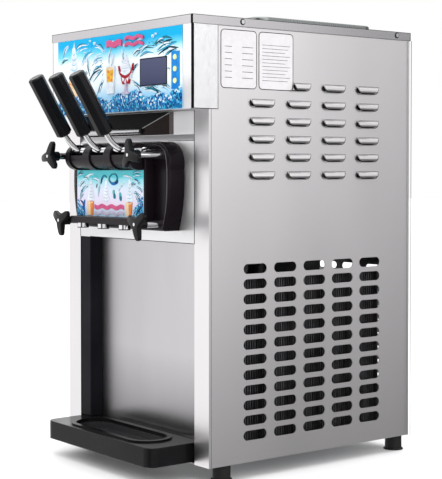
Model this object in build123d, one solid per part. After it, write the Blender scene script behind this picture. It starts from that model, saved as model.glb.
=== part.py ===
from build123d import *
import math
import os

# Countertop soft serve machine with three draw handles. Sizes are in millimetres.
# Working axes: X to the right seen from the front, Y to the back from the face of the
# front posts, Z up from the surface that the feet stand on. place_origin() moves the
# whole machine along Y, so that the origin ends at the middle of its footprint.

# Cabinet
BODY_HALF_W = 204.4
BODY_DEPTH = 436.0
FOOT_H = 26.0
CAP_TOP = 723.0
CAP_RIM = 14.0
CAP_HALF_W = 206.0
SHEET = 1.2
PLAY = 0.3
POST_HALF_W = 167.0
POST_RETURN = 24.0
RIM_BOTTOM = CAP_TOP - CAP_RIM
PANEL_TOP = CAP_TOP - SHEET - PLAY
CAP_SCREW_Y = (65.0, 403.5)
CAP_SCREW_Z = CAP_TOP - 6.2

# Header box that stands out above the dispensing head
HEADER_HALF_W = 205.2
HEADER_OUT = 32.0
HEADER_BOTTOM = 580.0
HEADER_WRAP = 17.6
GRAPHIC_LEFT = -186.4
GRAPHIC_RIGHT = 180.6
OVERLAY_T = 0.8
WINDOW_X = (68.0, 139.0)
WINDOW_Z = (621.0, 662.0)
KEYPAD_X = (152.0, 174.4)
KEYPAD_Z = (611.5, 669.5)
BUTTON_X = 162.0
BUTTON_Z = (660.5, 642.3, 624.1)
BUTTON_R = 4.2
BUTTON_TRAVEL = 1.2

# Front panels between the posts
PANEL_BOTTOM = 371.0
FOLD_Z = 533.5
BAND_TOP = 542.5
BAND_STEP = 6.0
SPLASH_Y = 24.6

# Side vents
SLOT_COLS = 5
SLOT_ROWS = 12
SLOT_FIRST_Y = 91.8
SLOT_PITCH_Y = 62.4
SLOT_TOP_Z = 331.0
SLOT_PITCH_Z = 23.9
SLOT_L = 47.0
SLOT_H = 15.6
LOUVRE_COLS = 4
LOUVRE_ROWS = 6
LOUVRE_FIRST_Y = 104.5
LOUVRE_PITCH_Y = 76.5
LOUVRE_TOP_Z = 625.4
LOUVRE_PITCH_Z = 28.4
LOUVRE_L = 46.0
LOUVRE_H = 10.6
LOUVRE_OUT = 5.6
PLATE_W = 71.7
PLATE_H = 91.2
PLATE_Z = 613.0
PLATE_FRONTS = (22.6, 98.4)

# Top openings, hoppers and lids
HOPPER_X = 97.0
HOPPER_Y = 245.0
HOPPER_W = 148.0
HOPPER_L = 232.0
HOPPER_DEPTH = 142.0
HOPPER_CORNER = 16.0
HOPPER_FLANGE = 9.0
LID_W = 170.0
LID_L = 254.0
LID_H = 9.0
LID_CORNER = 20.0
LID_TRAVEL = 150.0

# Dispensing head
CYL_X = 62.0
DOOR_AXIS_Z = 460.0
FLANGE_T = 30.0
FLANGE_BOTTOM = 390.5
FLANGE_TOP = 531.0
BLOCK_HALF_W = 101.5
BLOCK_FRONT = -48.0
BLOCK_Z = (402.0, 515.0)
LIP_HALF_W = 95.5
LIP_FRONT = -68.0
LIP_Z = (399.0, 410.0)
BARREL_Y = -54.0
BARREL_Z = 507.5
BARREL_R = 18.5
RIB_R = 21.0
INNER_RIB = (20.7, 41.5)
OUTER_RIB = (82.6, 95.5)
BARREL_FLAT_Z = 510.5
PIN_Y = -64.0
PIN_Z = 517.8
PIN_R = 3.0
PIN_END = 111.0
CLIP_X = 107.6
CLIP_WIRE = 1.5
CLIP_LOOP_R = 4.8
CLIP_LOOP_Y = -54.5
FIT = 0.06
VALVE_Y = -38.5
VALVE_R = 7.0
VALVE_Z = (412.0, 521.0)
VALVE_NOTCH_Z = 510.0
FEED_Y = -12.0
FEED_Z = 427.0
FEED_R = 4.6
OUTLET_Y = -60.0
OUTLET_R = 9.25
OUTLET_BOTTOM = 391.0
HANDLE_X = (-62.0, 0.0, 62.0)
SIDES = ("left", "centre", "right")
LABEL_HALF_W = 98.3
LABEL_Z = (410.4, 486.0)

# Draw levers and grips
SLEEVE_R = 5.5
SLEEVE_HALF_L = 20.2
GRIP_BASE = (-94.6, 544.2)
GRIP_TILT = 31.0
GRIP_L = 107.5
GRIP_ACROSS = 25.2
TONGUE_HALF_W = 3.0
TONGUE_T = 4.4

# Star knobs: centre X, centre Z, front Y, turn of the first lobe
KNOBS = {
    "upper_left": (-120.5, 509.7, -94.0, 70.0),
    "upper_right": (120.5, 509.7, -94.0, 105.0),
    "lower_left": (-113.5, 401.8, -77.0, 30.0),
    "lower_right": (113.5, 401.8, -77.0, 37.0),
}
KNOB_R = 26.0
KNOB_T = 8.7
KNOB_DOME_R = 100.0
KNOB_BOSS_R = 8.0
KNOB_BOSS_L = 12.0
SHANK_R = 5.9
STUD_R = 4.0

# Drip tray and drain column
TRAY_HALF_W = 156.0
TRAY_FRONT = -77.0
TRAY_Z = (28.0, 58.0)
TRAY_CORNER = 18.0
RING_Y = -27.5
RING_L = 236.0
RING_W = 79.0
RING_T = 8.0
RING_UP = 2.5
COLUMN_X = (-166.0, -136.2)
COLUMN_Y = (0.8, 24.2)

# Freezing cylinders, drive and cooling
CYL_R = 42.0
CYL_WALL = 2.0
CYL_L = 250.0
BEATER_R = 40.5
CONDENSER_X = (158.0, 188.0)
CONDENSER_Y = (66.0, 372.0)
CONDENSER_Z = (34.0, 318.0)
FAN_X = 118.0
FAN_Y = 219.0
FAN_Z = 176.0
FAN_R = 92.0


def block(x, y, z):
    """A box given by its low and high X, Y and Z."""
    size = (x[1] - x[0], y[1] - y[0], z[1] - z[0])
    middle = ((x[0] + x[1]) / 2, (y[0] + y[1]) / 2, (z[0] + z[1]) / 2)
    return Pos(*middle) * Box(*size)


def rod(start, end, radius):
    """A round bar between two points."""
    run = Vector(*end) - Vector(*start)
    return extrude(Plane(origin=start, z_dir=run) * Circle(radius), amount=run.length)


def front_plate(sketch, back_y, thickness):
    """A sketch drawn in X and Z, made into a plate that runs from back_y to the front."""
    return extrude(Plane.XZ.offset(-back_y) * sketch, amount=thickness)


def side_plate(sketch, low_x, thickness):
    """A sketch drawn in Y and Z, made into a plate that runs from low_x to the right."""
    return extrude(Plane.YZ.offset(low_x) * sketch, amount=thickness)


def flat_plate(sketch, low_z, thickness):
    """A sketch drawn in X and Y, made into a plate that runs up from low_z."""
    return extrude(Plane.XY.offset(low_z) * sketch, amount=thickness)


def mirror_x(shape):
    """The other hand of a shape, across the plane X = 0."""
    return mirror(shape, about=Plane.YZ)


def join(pieces):
    """One solid out of several that meet."""
    whole = pieces[0]
    for piece in pieces[1:]:
        whole = whole + piece
    return whole


# Cabinet


def louvre_outline(length):
    """Straight along the top, round at both lower corners; the top edge lies on Z = 0."""
    half = length / 2
    round_r = LOUVRE_H * 0.8
    return make_face(
        Polyline((-half + round_r * 0.75, -LOUVRE_H), (half - round_r * 0.75, -LOUVRE_H))
        + ThreePointArc(
            (half - round_r * 0.75, -LOUVRE_H),
            (half - round_r * 0.18, -LOUVRE_H * 0.68),
            (half, 0),
        )
        + Line((half, 0), (-half, 0))
        + ThreePointArc(
            (-half, 0),
            (-half + round_r * 0.18, -LOUVRE_H * 0.68),
            (-half + round_r * 0.75, -LOUVRE_H),
        )
    )


def louvre_flap(outline, length):
    """Flap that leaves the sheet along its top edge and curls over towards its lower edge."""
    low = -LOUVRE_H
    lip = LOUVRE_OUT * 0.68
    belly = LOUVRE_OUT * 0.92
    profile = make_face(
        ThreePointArc((0, 0), (belly, low * 0.5), (lip, low))
        + Line((lip, low), (lip - SHEET, low))
        + ThreePointArc((lip - SHEET, low), (belly - SHEET, low * 0.52), (-SHEET, -0.6))
        + Line((-SHEET, -0.6), (-SHEET, 0))
        + Line((-SHEET, 0), (0, 0))
    )
    curl = extrude(Plane.XZ * profile, amount=length / 2, both=True)
    cutter = extrude(Plane.YZ.offset(-SHEET - 1) * offset(outline, amount=-0.5), amount=12)
    root = block((-SHEET, 0), (-length / 2 + 1.5, length / 2 - 1.5), (-1.2, 0.5))
    return (curl & cutter) + root


def louvre_places():
    """Middle Y, top Z and length of each louvre; the plates cover part of the top row."""
    places = []
    for col in range(LOUVRE_COLS):
        for row in range(LOUVRE_ROWS):
            y = LOUVRE_FIRST_Y + col * LOUVRE_PITCH_Y
            z = LOUVRE_TOP_Z - row * LOUVRE_PITCH_Z
            front = y - LOUVRE_L / 2
            back = y + LOUVRE_L / 2
            if row == 0:
                front = max(front, PLATE_FRONTS[-1] + PLATE_W + 2)
            if back > front:
                places.append(((front + back) / 2, z, back - front))
    return places


def right_side_panel():
    """Side sheet, front post and the post's return, with vent slots and louvres."""
    outer = BODY_HALF_W
    sheet = block((outer - SHEET, outer), (0, BODY_DEPTH), (FOOT_H, PANEL_TOP))
    slots = Sketch()
    for col in range(SLOT_COLS):
        for row in range(SLOT_ROWS):
            y = SLOT_FIRST_Y + col * SLOT_PITCH_Y
            z = SLOT_TOP_Z - row * SLOT_PITCH_Z
            slots += Pos(y, z) * SlotOverall(SLOT_L, SLOT_H)
    openings = Sketch()
    flaps = []
    for y, z, length in louvre_places():
        outline = louvre_outline(length)
        openings += Pos(y, z) * outline
        flaps.append(Pos(outer, y, z) * louvre_flap(outline, length))
    sheet -= side_plate(slots, outer - 2 * SHEET, 3 * SHEET)
    sheet -= side_plate(openings, outer - 2 * SHEET, 3 * SHEET)
    for y in CAP_SCREW_Y:
        sheet -= rod((outer - 4, y, CAP_SCREW_Z), (outer + 4, y, CAP_SCREW_Z), 1.7)
    post = block((POST_HALF_W, outer), (0, SHEET), (FOOT_H, PANEL_TOP))
    turned_in = block((POST_HALF_W, POST_HALF_W + SHEET), (0, POST_RETURN), (FOOT_H, PANEL_TOP))
    rear = block((outer - 14, outer), (BODY_DEPTH - SHEET, BODY_DEPTH), (FOOT_H, PANEL_TOP))
    return join([sheet, post, turned_in, rear] + flaps)


def base_pan():
    """Floor of the cabinet with an upturned edge, and a tongue under the drip tray."""
    half = BODY_HALF_W - SHEET - PLAY
    low = FOOT_H
    pan = block((-half, half), (27, BODY_DEPTH - 4), (low, low + 22))
    pan -= block((-half + 1.5, half - 1.5), (28.5, BODY_DEPTH - 5.5), (low + 1.5, low + 30))
    tongue_half = POST_HALF_W - PLAY
    tongue = block((-tongue_half, tongue_half), (2, 28), (low, low + 1.5))
    holes = [
        Pos(x, y, low) * Cylinder(3.2, 10)
        for x in (-183, 183)
        for y in (41, BODY_DEPTH - 15)
    ]
    return join([pan, tongue]) - holes


def inner_frame():
    """Four upright angles, top and middle rails, that carry the hoppers and cylinders."""
    inside = BODY_HALF_W - SHEET - PLAY
    thick = 2.0
    leg = 20.0
    low = FOOT_H + 22
    high = PANEL_TOP
    pieces = []
    for y, toward in ((30.0, 1), (BODY_DEPTH - 8, -1)):
        flange_y = sorted((y, y + toward * leg))
        web_y = sorted((y, y + toward * thick))
        pieces.append(block((inside - thick, inside), flange_y, (low, high)))
        pieces.append(block((inside - leg, inside), web_y, (low, high)))
    uprights = join([pieces[0], pieces[1]]) + join([pieces[2], pieces[3]])
    rails = []
    for z in (376.0, 560.0):
        rails.append(block((inside - thick, inside), (30, BODY_DEPTH - 8), (z, z + leg)))
        rails.append(block((inside - leg, inside), (30, BODY_DEPTH - 8), (z, z + thick)))
    half = join([uprights] + rails)
    cross = [
        block((-inside, inside), (y, y + 24), (376 - 1.5, 376.0))
        for y in (60.0, 300.0)
    ]
    return join([half, mirror_x(half)] + cross)


def rear_panel():
    """Back sheet with a field of vent slots and a hole for the mains lead."""
    half = BODY_HALF_W - 2.2
    low = FOOT_H + 2
    back = BODY_DEPTH - SHEET
    face = Pos(0, (low + PANEL_TOP) / 2) * Rectangle(2 * half, PANEL_TOP - low)
    for col in range(5):
        for row in range(9):
            face -= Pos(-124 + 62 * col, 120 + 24 * row) * SlotOverall(SLOT_L, 12)
    face -= Pos(-150, 70) * Circle(9)
    return front_plate(face, back, SHEET)


def gland():
    """Strain relief of the mains lead, in the hole of the rear panel."""
    y = BODY_DEPTH
    x, z = -150.0, 70.0
    body = rod((x, y - 9, z), (x, y + 1, z), 8.8)
    nut = rod((x, y - 6.4, z), (x, y - 2 * SHEET, z), 12.0)
    collar = rod((x, y - SHEET, z), (x, y + 1, z), 11.5)
    return join([body, nut, collar]) - rod((x, y - 10, z), (x, y + 2, z), 4.2)


def top_cover():
    """Cap with a turned-down rim and two openings for the hoppers."""
    rear = BODY_DEPTH + 1.2
    front = -HEADER_OUT - 1.2
    cap = block((-CAP_HALF_W, CAP_HALF_W), (front, rear), (RIM_BOTTOM, CAP_TOP))
    cap = fillet(cap.edges().filter_by(Axis.Z), 1.6)
    cap = fillet(cap.faces().sort_by(Axis.Z)[-1].edges(), 0.8)
    cap -= block(
        (-CAP_HALF_W + SHEET, CAP_HALF_W - SHEET),
        (front + SHEET, rear - SHEET),
        (RIM_BOTTOM - 1, CAP_TOP - SHEET),
    )
    for x in (-HOPPER_X, HOPPER_X):
        opening = RectangleRounded(HOPPER_W + 2, HOPPER_L + 2, HOPPER_CORNER + 1)
        cap -= flat_plate(Pos(x, HOPPER_Y) * opening, CAP_TOP - 4, 8)
    for x in (-CAP_HALF_W, CAP_HALF_W):
        for y in CAP_SCREW_Y:
            cap -= rod((x - 4, y, CAP_SCREW_Z), (x + 4, y, CAP_SCREW_Z), 1.6)
    return cap


def cover_screws():
    """Round-head screws at the cap's sides and round the rear panel's edge."""
    screws = []
    for hand in (-1, 1):
        for y in CAP_SCREW_Y:
            face = hand * CAP_HALF_W
            z = CAP_SCREW_Z
            head = rod((face, y, z), (face + hand * 1.5, y, z), 3.2)
            shank = rod((face, y, z), (face - hand * 8, y, z), 1.5)
            screws.append(head + shank)
    for x in (-196.0, 196.0):
        for z in (90.0, 260.0, 430.0, 600.0):
            head = rod((x, BODY_DEPTH, z), (x, BODY_DEPTH + 1.4, z), 3.4)
            screws.append(head)
    return Compound(screws)


def feet():
    """Rubber feet, each with a wider sole."""
    made = []
    for x, y in ((-183, 41), (183, 41), (-183, 421), (183, 421)):
        foot = Pos(x, y, FOOT_H / 2) * Cylinder(14.4, FOOT_H)
        sole = Pos(x, y, 1.3) * Cylinder(17.0, 2.6)
        made.append(foot + chamfer(sole.edges().sort_by(Axis.Z)[-1], 1.2))
    return Compound(made)


def side_plates():
    """Two blank adhesive plates high on the right side."""
    made = []
    for front in PLATE_FRONTS:
        middle = (front + PLATE_W / 2, PLATE_Z + PLATE_H / 2)
        face = Pos(*middle) * RectangleRounded(PLATE_W, PLATE_H, 7)
        made.append(side_plate(face, BODY_HALF_W, 0.5))
    return Compound(made)


# Header


def header_shell():
    """Front, bottom and side wraps of the box that holds the controls."""
    outer = HEADER_HALF_W
    inner = BODY_HALF_W
    front = -HEADER_OUT
    face = block((-inner, inner), (front, front + SHEET), (HEADER_BOTTOM, PANEL_TOP))
    under = block((-outer, outer), (front, -PLAY), (HEADER_BOTTOM, HEADER_BOTTOM + SHEET))
    shell = face + under
    for hand in (-1, 1):
        x = sorted((hand * outer, hand * (inner + 0.05)))
        shell += block(x, (front, HEADER_WRAP), (HEADER_BOTTOM, RIM_BOTTOM))
        x = sorted((hand * outer, hand * (inner - 1)))
        shell += block(x, (front, front + SHEET), (HEADER_BOTTOM, RIM_BOTTOM))
    shell -= block(WINDOW_X, (front - 2, front + 4), WINDOW_Z)
    for z in BUTTON_Z:
        shell -= rod((BUTTON_X, front - 2, z), (BUTTON_X, front + 4, z), BUTTON_R + 0.2)
    return shell


def header_graphic():
    """Printed overlay on the header's front, open at the window and the keypad."""
    front = -HEADER_OUT
    low = HEADER_BOTTOM + 0.6
    high = RIM_BOTTOM - 0.4
    sheet = block((GRAPHIC_LEFT, GRAPHIC_RIGHT), (front - OVERLAY_T, front), (low, high))
    sheet -= block(WINDOW_X, (front - 2, front + 1), WINDOW_Z)
    return sheet - block(KEYPAD_X, (front - 2, front + 1), KEYPAD_Z)


def display_window():
    """Dark window of the display, with its module behind."""
    front = -HEADER_OUT
    glass = block(WINDOW_X, (front - OVERLAY_T - 0.4, front + SHEET), WINDOW_Z)
    x = (WINDOW_X[0] - 3, WINDOW_X[1] + 3)
    z = (WINDOW_Z[0] - 3, WINDOW_Z[1] + 3)
    return glass + block(x, (front + SHEET, front + 9), z)


def keypad_strip():
    """Strip round the three buttons."""
    front = -HEADER_OUT
    strip = block(KEYPAD_X, (front - OVERLAY_T - 0.3, front), KEYPAD_Z)
    for z in BUTTON_Z:
        strip -= rod((BUTTON_X, front - 3, z), (BUTTON_X, front + 1, z), BUTTON_R + 0.2)
    return strip


def push_button(z):
    """One push button: a domed cap with a shoulder behind the sheet."""
    front = -HEADER_OUT
    cap = rod((BUTTON_X, front + SHEET + 0.3, z), (BUTTON_X, front - 2.6, z), BUTTON_R)
    cap = fillet(cap.edges().sort_by(Axis.Y)[0], 0.9)
    shoulder_y = front + SHEET + 0.3
    shoulder = rod((BUTTON_X, shoulder_y, z), (BUTTON_X, shoulder_y + 1.5, z), BUTTON_R + 1)
    stem = rod((BUTTON_X, shoulder_y, z), (BUTTON_X, shoulder_y + 5, z), 1.6)
    return join([cap, shoulder, stem])


def control_board():
    """Circuit board on four pillars, with its larger parts."""
    front = -HEADER_OUT
    board = block((44, 186), (-18.0, -16.4), (594, 692))
    parts = [
        block((52, 82), (-16.4, -4), (600, 624)),
        block((96, 112), (-16.4, -3), (602, 634)),
        block((120, 170), (-16.4, -8), (672, 684)),
    ]
    for z in BUTTON_Z:
        switch_front = front + SHEET + 0.3 + 5 + BUTTON_TRAVEL + 0.2
        parts.append(block((BUTTON_X - 3, BUTTON_X + 3), (switch_front, -18.0), (z - 3, z + 3)))
    for x in (48, 182):
        for z in (598, 688):
            parts.append(rod((x, front + SHEET, z), (x, -18.0, z), 2.5))
    return join([board] + parts)


# Front panels


def dispense_panel():
    """Sheet behind the freezer door, bent back above it, with two cylinder mouths."""
    half = POST_HALF_W - PLAY
    top = RIM_BOTTOM - 4
    profile = Polyline(
        (0, PANEL_BOTTOM),
        (0, FOLD_Z),
        (BAND_STEP, BAND_TOP),
        (BAND_STEP, top),
        (BAND_STEP + SHEET, top),
        (BAND_STEP + SHEET, BAND_TOP - 0.6),
        (SHEET, FOLD_Z - 0.6),
        (SHEET, PANEL_BOTTOM + SHEET),
        (SHEET + 12, PANEL_BOTTOM + SHEET),
        (SHEET + 12, PANEL_BOTTOM),
        close=True,
    )
    low_x = COLUMN_X[1] + 1.0
    panel = side_plate(make_face(profile), -half, 2 * half)
    panel -= block((-half - 1, low_x), (SHEET, 20), (PANEL_BOTTOM - 1, PANEL_BOTTOM + 3))
    for x in (-CYL_X, CYL_X):
        panel -= rod((x, -5, DOOR_AXIS_Z), (x, 10, DOOR_AXIS_Z), CYL_R + CYL_WALL + 0.1)
    for x, z, _front, _turn in KNOBS.values():
        panel -= rod((x, -5, z), (x, 10, z), STUD_R + 0.1)
    return panel


def splash_panel():
    """Recessed sheet behind the cups, with a turned-back top."""
    half = POST_HALF_W + SHEET - PLAY
    sheet = block((-half, half), (SPLASH_Y, SPLASH_Y + 1.0), (FOOT_H + 2, 372.5))
    fold = block((-half, half), (SPLASH_Y, SPLASH_Y + 30), (371.5, 372.5))
    return sheet + fold


def drain_column():
    """Black duct in the left corner, from the tray up behind the dispense panel."""
    duct = block(COLUMN_X, COLUMN_Y, (TRAY_Z[1] + 0.6, PANEL_BOTTOM + 30))
    edges = duct.edges().filter_by(Axis.Z).sort_by(Axis.Y)[:2]
    duct = fillet(edges, 1.5)
    bore_x = (COLUMN_X[0] + 3, COLUMN_X[1] - 3)
    bore_y = (COLUMN_Y[0] + 3, COLUMN_Y[1] - 3)
    duct -= block(bore_x, bore_y, (TRAY_Z[1] - 1, PANEL_BOTTOM + 40))
    return duct - block(
        (COLUMN_X[0] - 1, COLUMN_X[1] + 1), (0, 3.0), (PANEL_BOTTOM - 0.3, PANEL_BOTTOM + 40)
    )


# Dispensing head


def flange_outline(inset=0.0):
    """Door flange: flat top and bottom, sides bowed out, round upper corners."""
    low = FLANGE_BOTTOM + inset
    high = FLANGE_TOP - inset
    right = [
        ThreePointArc((127 - inset, low), (139.4 - inset, 438), (140.9 - inset, 487)),
        ThreePointArc((140.9 - inset, 487), (133.5 - inset, 519), (104, high)),
    ]
    left = [mirror(arc, about=Plane.YZ) for arc in right]
    bottom = Line((-127 + inset, low), (127 - inset, low))
    top = Line((104, high), (-104, high))
    return make_face(bottom + right[0] + right[1] + top + left[1] + left[0])


def freezer_door():
    """Door block: flange, valve body, ribbed barrel and outlet lip, with its passages."""
    flange = front_plate(flange_outline(), -PLAY, FLANGE_T - PLAY)
    flange = fillet(flange.faces().sort_by(Axis.Y)[0].edges(), 3.5)
    body = block((-BLOCK_HALF_W, BLOCK_HALF_W), (BLOCK_FRONT, -10), BLOCK_Z)
    body = fillet(body.edges().filter_by(Axis.Z).sort_by(Axis.Y)[:2], 2.5)
    lip = block((-LIP_HALF_W, LIP_HALF_W), (LIP_FRONT, BLOCK_FRONT + 16), LIP_Z)
    lip = fillet(lip.edges().filter_by(Axis.Z).sort_by(Axis.Y)[:2], 9)
    lip = fillet(lip.edges().sort_by(Axis.Y)[0], 1.5)
    half = OUTER_RIB[1] - 1
    barrel = rod((-half, BARREL_Y, BARREL_Z), (half, BARREL_Y, BARREL_Z), BARREL_R)
    door = join([flange, body, lip, barrel])
    ribs = [OUTER_RIB, INNER_RIB, (-INNER_RIB[1], -INNER_RIB[0]), (-OUTER_RIB[1], -OUTER_RIB[0])]
    for low, high in ribs:
        rib = rod((low, BARREL_Y, BARREL_Z), (high, BARREL_Y, BARREL_Z), RIB_R)
        door += fillet(rib.edges().filter_by(GeomType.CIRCLE), 1.2)
    gap_half = INNER_RIB[0]
    for x in HANDLE_X:
        door -= block((x - gap_half, x + gap_half), (-85, BLOCK_FRONT), (BARREL_FLAT_Z, 545))
        slot = (x - TONGUE_HALF_W - 0.6, x + TONGUE_HALF_W + 0.6)
        door -= block(slot, (-66, VALVE_Y), (501, 545))
        door -= rod((x, VALVE_Y, 404.5), (x, VALVE_Y, 545), VALVE_R + FIT)
        door -= rod((x, VALVE_Y, 404.5), (x, OUTLET_Y, 404.5), 3.6)
        door -= rod((x, OUTLET_Y, 404.5), (x, OUTLET_Y, 390), 4.2)
        feed_end = 5.0 if x else FEED_Y + 2
        door -= rod((x, VALVE_Y, FEED_Z), (x, feed_end, FEED_Z), FEED_R)
    door -= rod((-CYL_X, FEED_Y, FEED_Z), (CYL_X, FEED_Y, FEED_Z), FEED_R - 1)
    door -= rod((-100, PIN_Y, PIN_Z), (100, PIN_Y, PIN_Z), PIN_R + FIT)
    for x, z, _front, _turn in KNOBS.values():
        door -= rod((x, 5, z), (x, -FLANGE_T - 2, z), STUD_R + FIT)
    for x in (-CYL_X, CYL_X):
        door -= seal_ring(x, 0.2)
    return door


def seal_ring(x, grow=0.0):
    """Round gasket between the door and one cylinder, in a groove of the door's back."""
    outer = CYL_R + CYL_WALL + 1.5 + grow
    ring = rod((x, -PLAY, DOOR_AXIS_Z), (x, -3.2, DOOR_AXIS_Z), outer)
    return ring - rod((x, 1, DOOR_AXIS_Z), (x, -5, DOOR_AXIS_Z), CYL_R - 1.5 - grow)


def door_graphic():
    """Printed label on the front of the valve body."""
    z = (LABEL_Z[0], LABEL_Z[1])
    return block((-LABEL_HALF_W, LABEL_HALF_W), (BLOCK_FRONT - 0.6, BLOCK_FRONT), z)


def outlet_nozzles():
    """Star-shaped outlets under the lip."""
    made = []
    for x in HANDLE_X:
        cup = rod((x, OUTLET_Y, LIP_Z[0]), (x, OUTLET_Y, OUTLET_BOTTOM), OUTLET_R)
        cup = fillet(cup.edges().sort_by(Axis.Z)[0], 0.8)
        star = Sketch()
        for spoke in range(3):
            star += Rot(0, 0, 60 * spoke) * Rectangle(11, 2.4)
        cup -= flat_plate(Pos(x, OUTLET_Y) * star, OUTLET_BOTTOM - 1, 6)
        cup -= rod((x, OUTLET_Y, LIP_Z[0] + 1), (x, OUTLET_Y, OUTLET_BOTTOM + 4), 5.4)
        made.append(cup)
    return Compound(made)


def pivot_pin():
    """Pin through the ribs and the levers, with a head and a cross hole."""
    pin = rod((-99, PIN_Y, PIN_Z), (PIN_END, PIN_Y, PIN_Z), PIN_R)
    head = rod((-99, PIN_Y, PIN_Z), (-95.8, PIN_Y, PIN_Z), 4.6)
    hole = rod((CLIP_X, PIN_Y - 6, PIN_Z), (CLIP_X, PIN_Y + 6, PIN_Z), CLIP_WIRE + 0.1)
    return pin + head - hole


def pivot_clip():
    """Spring clip through the pin's end: a leaning loop with a straight tail behind it."""
    front = CLIP_LOOP_Y - CLIP_LOOP_R
    back = CLIP_LOOP_Y + CLIP_LOOP_R
    loop = Pos(CLIP_X, CLIP_LOOP_Y, PIN_Z) * Rot(0, -40, 0) * Torus(CLIP_LOOP_R, CLIP_WIRE)
    stem = rod((CLIP_X, front, PIN_Z), (CLIP_X, PIN_Y - 6.5, PIN_Z), CLIP_WIRE)
    tail = rod((CLIP_X, -31.5, PIN_Z), (CLIP_X, back, PIN_Z), CLIP_WIRE)
    return loop + stem + tail


def door_studs():
    """Threaded studs that the door and its knobs hang on."""
    made = []
    for x, z, front, _turn in KNOBS.values():
        stud = rod((x, 6, z), (x, -FLANGE_T - 16, z), STUD_R)
        head = rod((x, BAND_STEP + 2 * SHEET, z), (x, 14, z), 7.0)
        made.append(stud + rod((x, 6, z), (x, BAND_STEP + 3, z), STUD_R) + head)
    return Compound(made)


def knob_shank(x, z, front):
    """Steel shank of a knob, bored blind for the stud, with a thin end in the star."""
    back = -FLANGE_T - 0.05
    neck = front + KNOB_T + KNOB_BOSS_L
    shank = rod((x, back, z), (x, neck, z), SHANK_R)
    shank += rod((x, neck, z), (x, front - 0.5, z), 2.6)
    return shank - rod((x, back + 1, z), (x, -FLANGE_T - 18, z), STUD_R + FIT)


def star_knob(x, z, front, turn):
    """Three-lobed knob with a round boss towards the door."""
    lobes = Sketch()
    for lobe in range(3):
        arm = make_hull(
            (Circle(8.6).edges() + (Pos(KNOB_R - 6.0, 0) * Circle(6.0)).edges())
        )
        lobes += Rot(0, 0, turn + 120 * lobe) * arm
    back = front + KNOB_T
    star = front_plate(Pos(x, z) * lobes, back, KNOB_T)
    star &= Pos(x, front + KNOB_DOME_R, z) * Sphere(KNOB_DOME_R)
    star = fillet(star.faces().sort_by(Axis.Y)[0].edges(), 1.8)
    boss = rod((x, back, z), (x, back + KNOB_BOSS_L, z), KNOB_BOSS_R)
    return star + boss - rod((x, front - 1, z), (x, back + KNOB_BOSS_L + 1, z), 2.6)


def draw_valve(x):
    """Vertical piston with a notch near its top for the lever's tongue."""
    piston = rod((x, VALVE_Y, VALVE_Z[0]), (x, VALVE_Y, VALVE_Z[1]), VALVE_R)
    piston = chamfer(piston.edges().filter_by(GeomType.CIRCLE), 0.6)
    half = TONGUE_HALF_W + 0.4
    notch_z = (VALVE_NOTCH_Z - 5.6, VALVE_NOTCH_Z + 5.6)
    piston -= block((x - half, x + half), (VALVE_Y - 9, VALVE_Y + 9), notch_z)
    for z in (418.0, 436.0, 492.0):
        groove = rod((x, VALVE_Y, z), (x, VALVE_Y, z + 2), VALVE_R + 1)
        piston -= groove - rod((x, VALVE_Y, z - 1), (x, VALVE_Y, z + 3), VALVE_R - 1.2)
    return piston


def draw_lever(x):
    """Chrome lever: a sleeve on the pin, a curved arm up to the grip and a tongue."""
    sleeve = rod(
        (x - SLEEVE_HALF_L, PIN_Y, PIN_Z), (x + SLEEVE_HALF_L, PIN_Y, PIN_Z), SLEEVE_R
    )
    lean = math.radians(GRIP_TILT)
    base_y, base_z = GRIP_BASE
    top = (base_y - 14 * math.sin(lean), base_z + 14 * math.cos(lean))
    spine = Spline(
        (x, PIN_Y, PIN_Z),
        (x, base_y, base_z),
        tangents=[(0, -math.cos(math.radians(20)), math.sin(math.radians(20))),
                  (0, -math.sin(lean), math.cos(lean))],
    )
    sections = []
    for at, wide, deep in ((0.0, 8.5, 4.6), (0.35, 6.6, 4.4), (0.7, 5.0, 4.2), (1.0, 4.6, 4.2)):
        plane = Plane(origin=spine @ at, x_dir=(1, 0, 0), z_dir=spine % at)
        sections.append(plane * Ellipse(wide, deep))
    arm = loft(sections)
    stem = rod((x, base_y, base_z), (x, top[0], top[1]), 4.2)
    tip_y, tip_z = VALVE_Y, VALVE_NOTCH_Z
    fall = math.degrees(math.atan2(PIN_Z - tip_z, tip_y - PIN_Y))
    reach = math.hypot(tip_y - PIN_Y, PIN_Z - tip_z)
    tongue = block((-TONGUE_HALF_W, TONGUE_HALF_W), (0, reach), (-TONGUE_T / 2, TONGUE_T / 2))
    tongue = Pos(x, PIN_Y, PIN_Z) * Rot(-fall, 0, 0) * tongue
    tip = rod((x - TONGUE_HALF_W, tip_y, tip_z), (x + TONGUE_HALF_W, tip_y, tip_z), TONGUE_T / 2)
    lever = join([sleeve, arm, stem, tongue, tip])
    bore_half = SLEEVE_HALF_L + 1
    return lever - rod((x - bore_half, PIN_Y, PIN_Z), (x + bore_half, PIN_Y, PIN_Z), PIN_R + FIT)


def draw_grip(x):
    """Eight-sided grip pushed over the lever's upper end."""
    base_y, base_z = GRIP_BASE
    corner_r = GRIP_ACROSS / 2 / math.cos(math.radians(22.5))
    face = Rot(0, 0, 22.5) * RegularPolygon(corner_r, 8)
    grip = extrude(face, amount=GRIP_L)
    grip = fillet(grip.edges().filter_by(Axis.Z), 3.2)
    grip = chamfer(grip.faces().sort_by(Axis.Z)[-1].edges(), 2.4)
    grip = chamfer(grip.faces().sort_by(Axis.Z)[0].edges(), 3.0)
    grip -= Pos(0, 0, 7) * Cylinder(4.2, 14)
    return Pos(x, base_y, base_z) * Rot(GRIP_TILT, 0, 0) * grip


# Drip tray


def stadium(length, width):
    """Long round-ended outline centred on the tray's ring."""
    return Pos(0, RING_Y) * SlotOverall(length, width)


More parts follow.
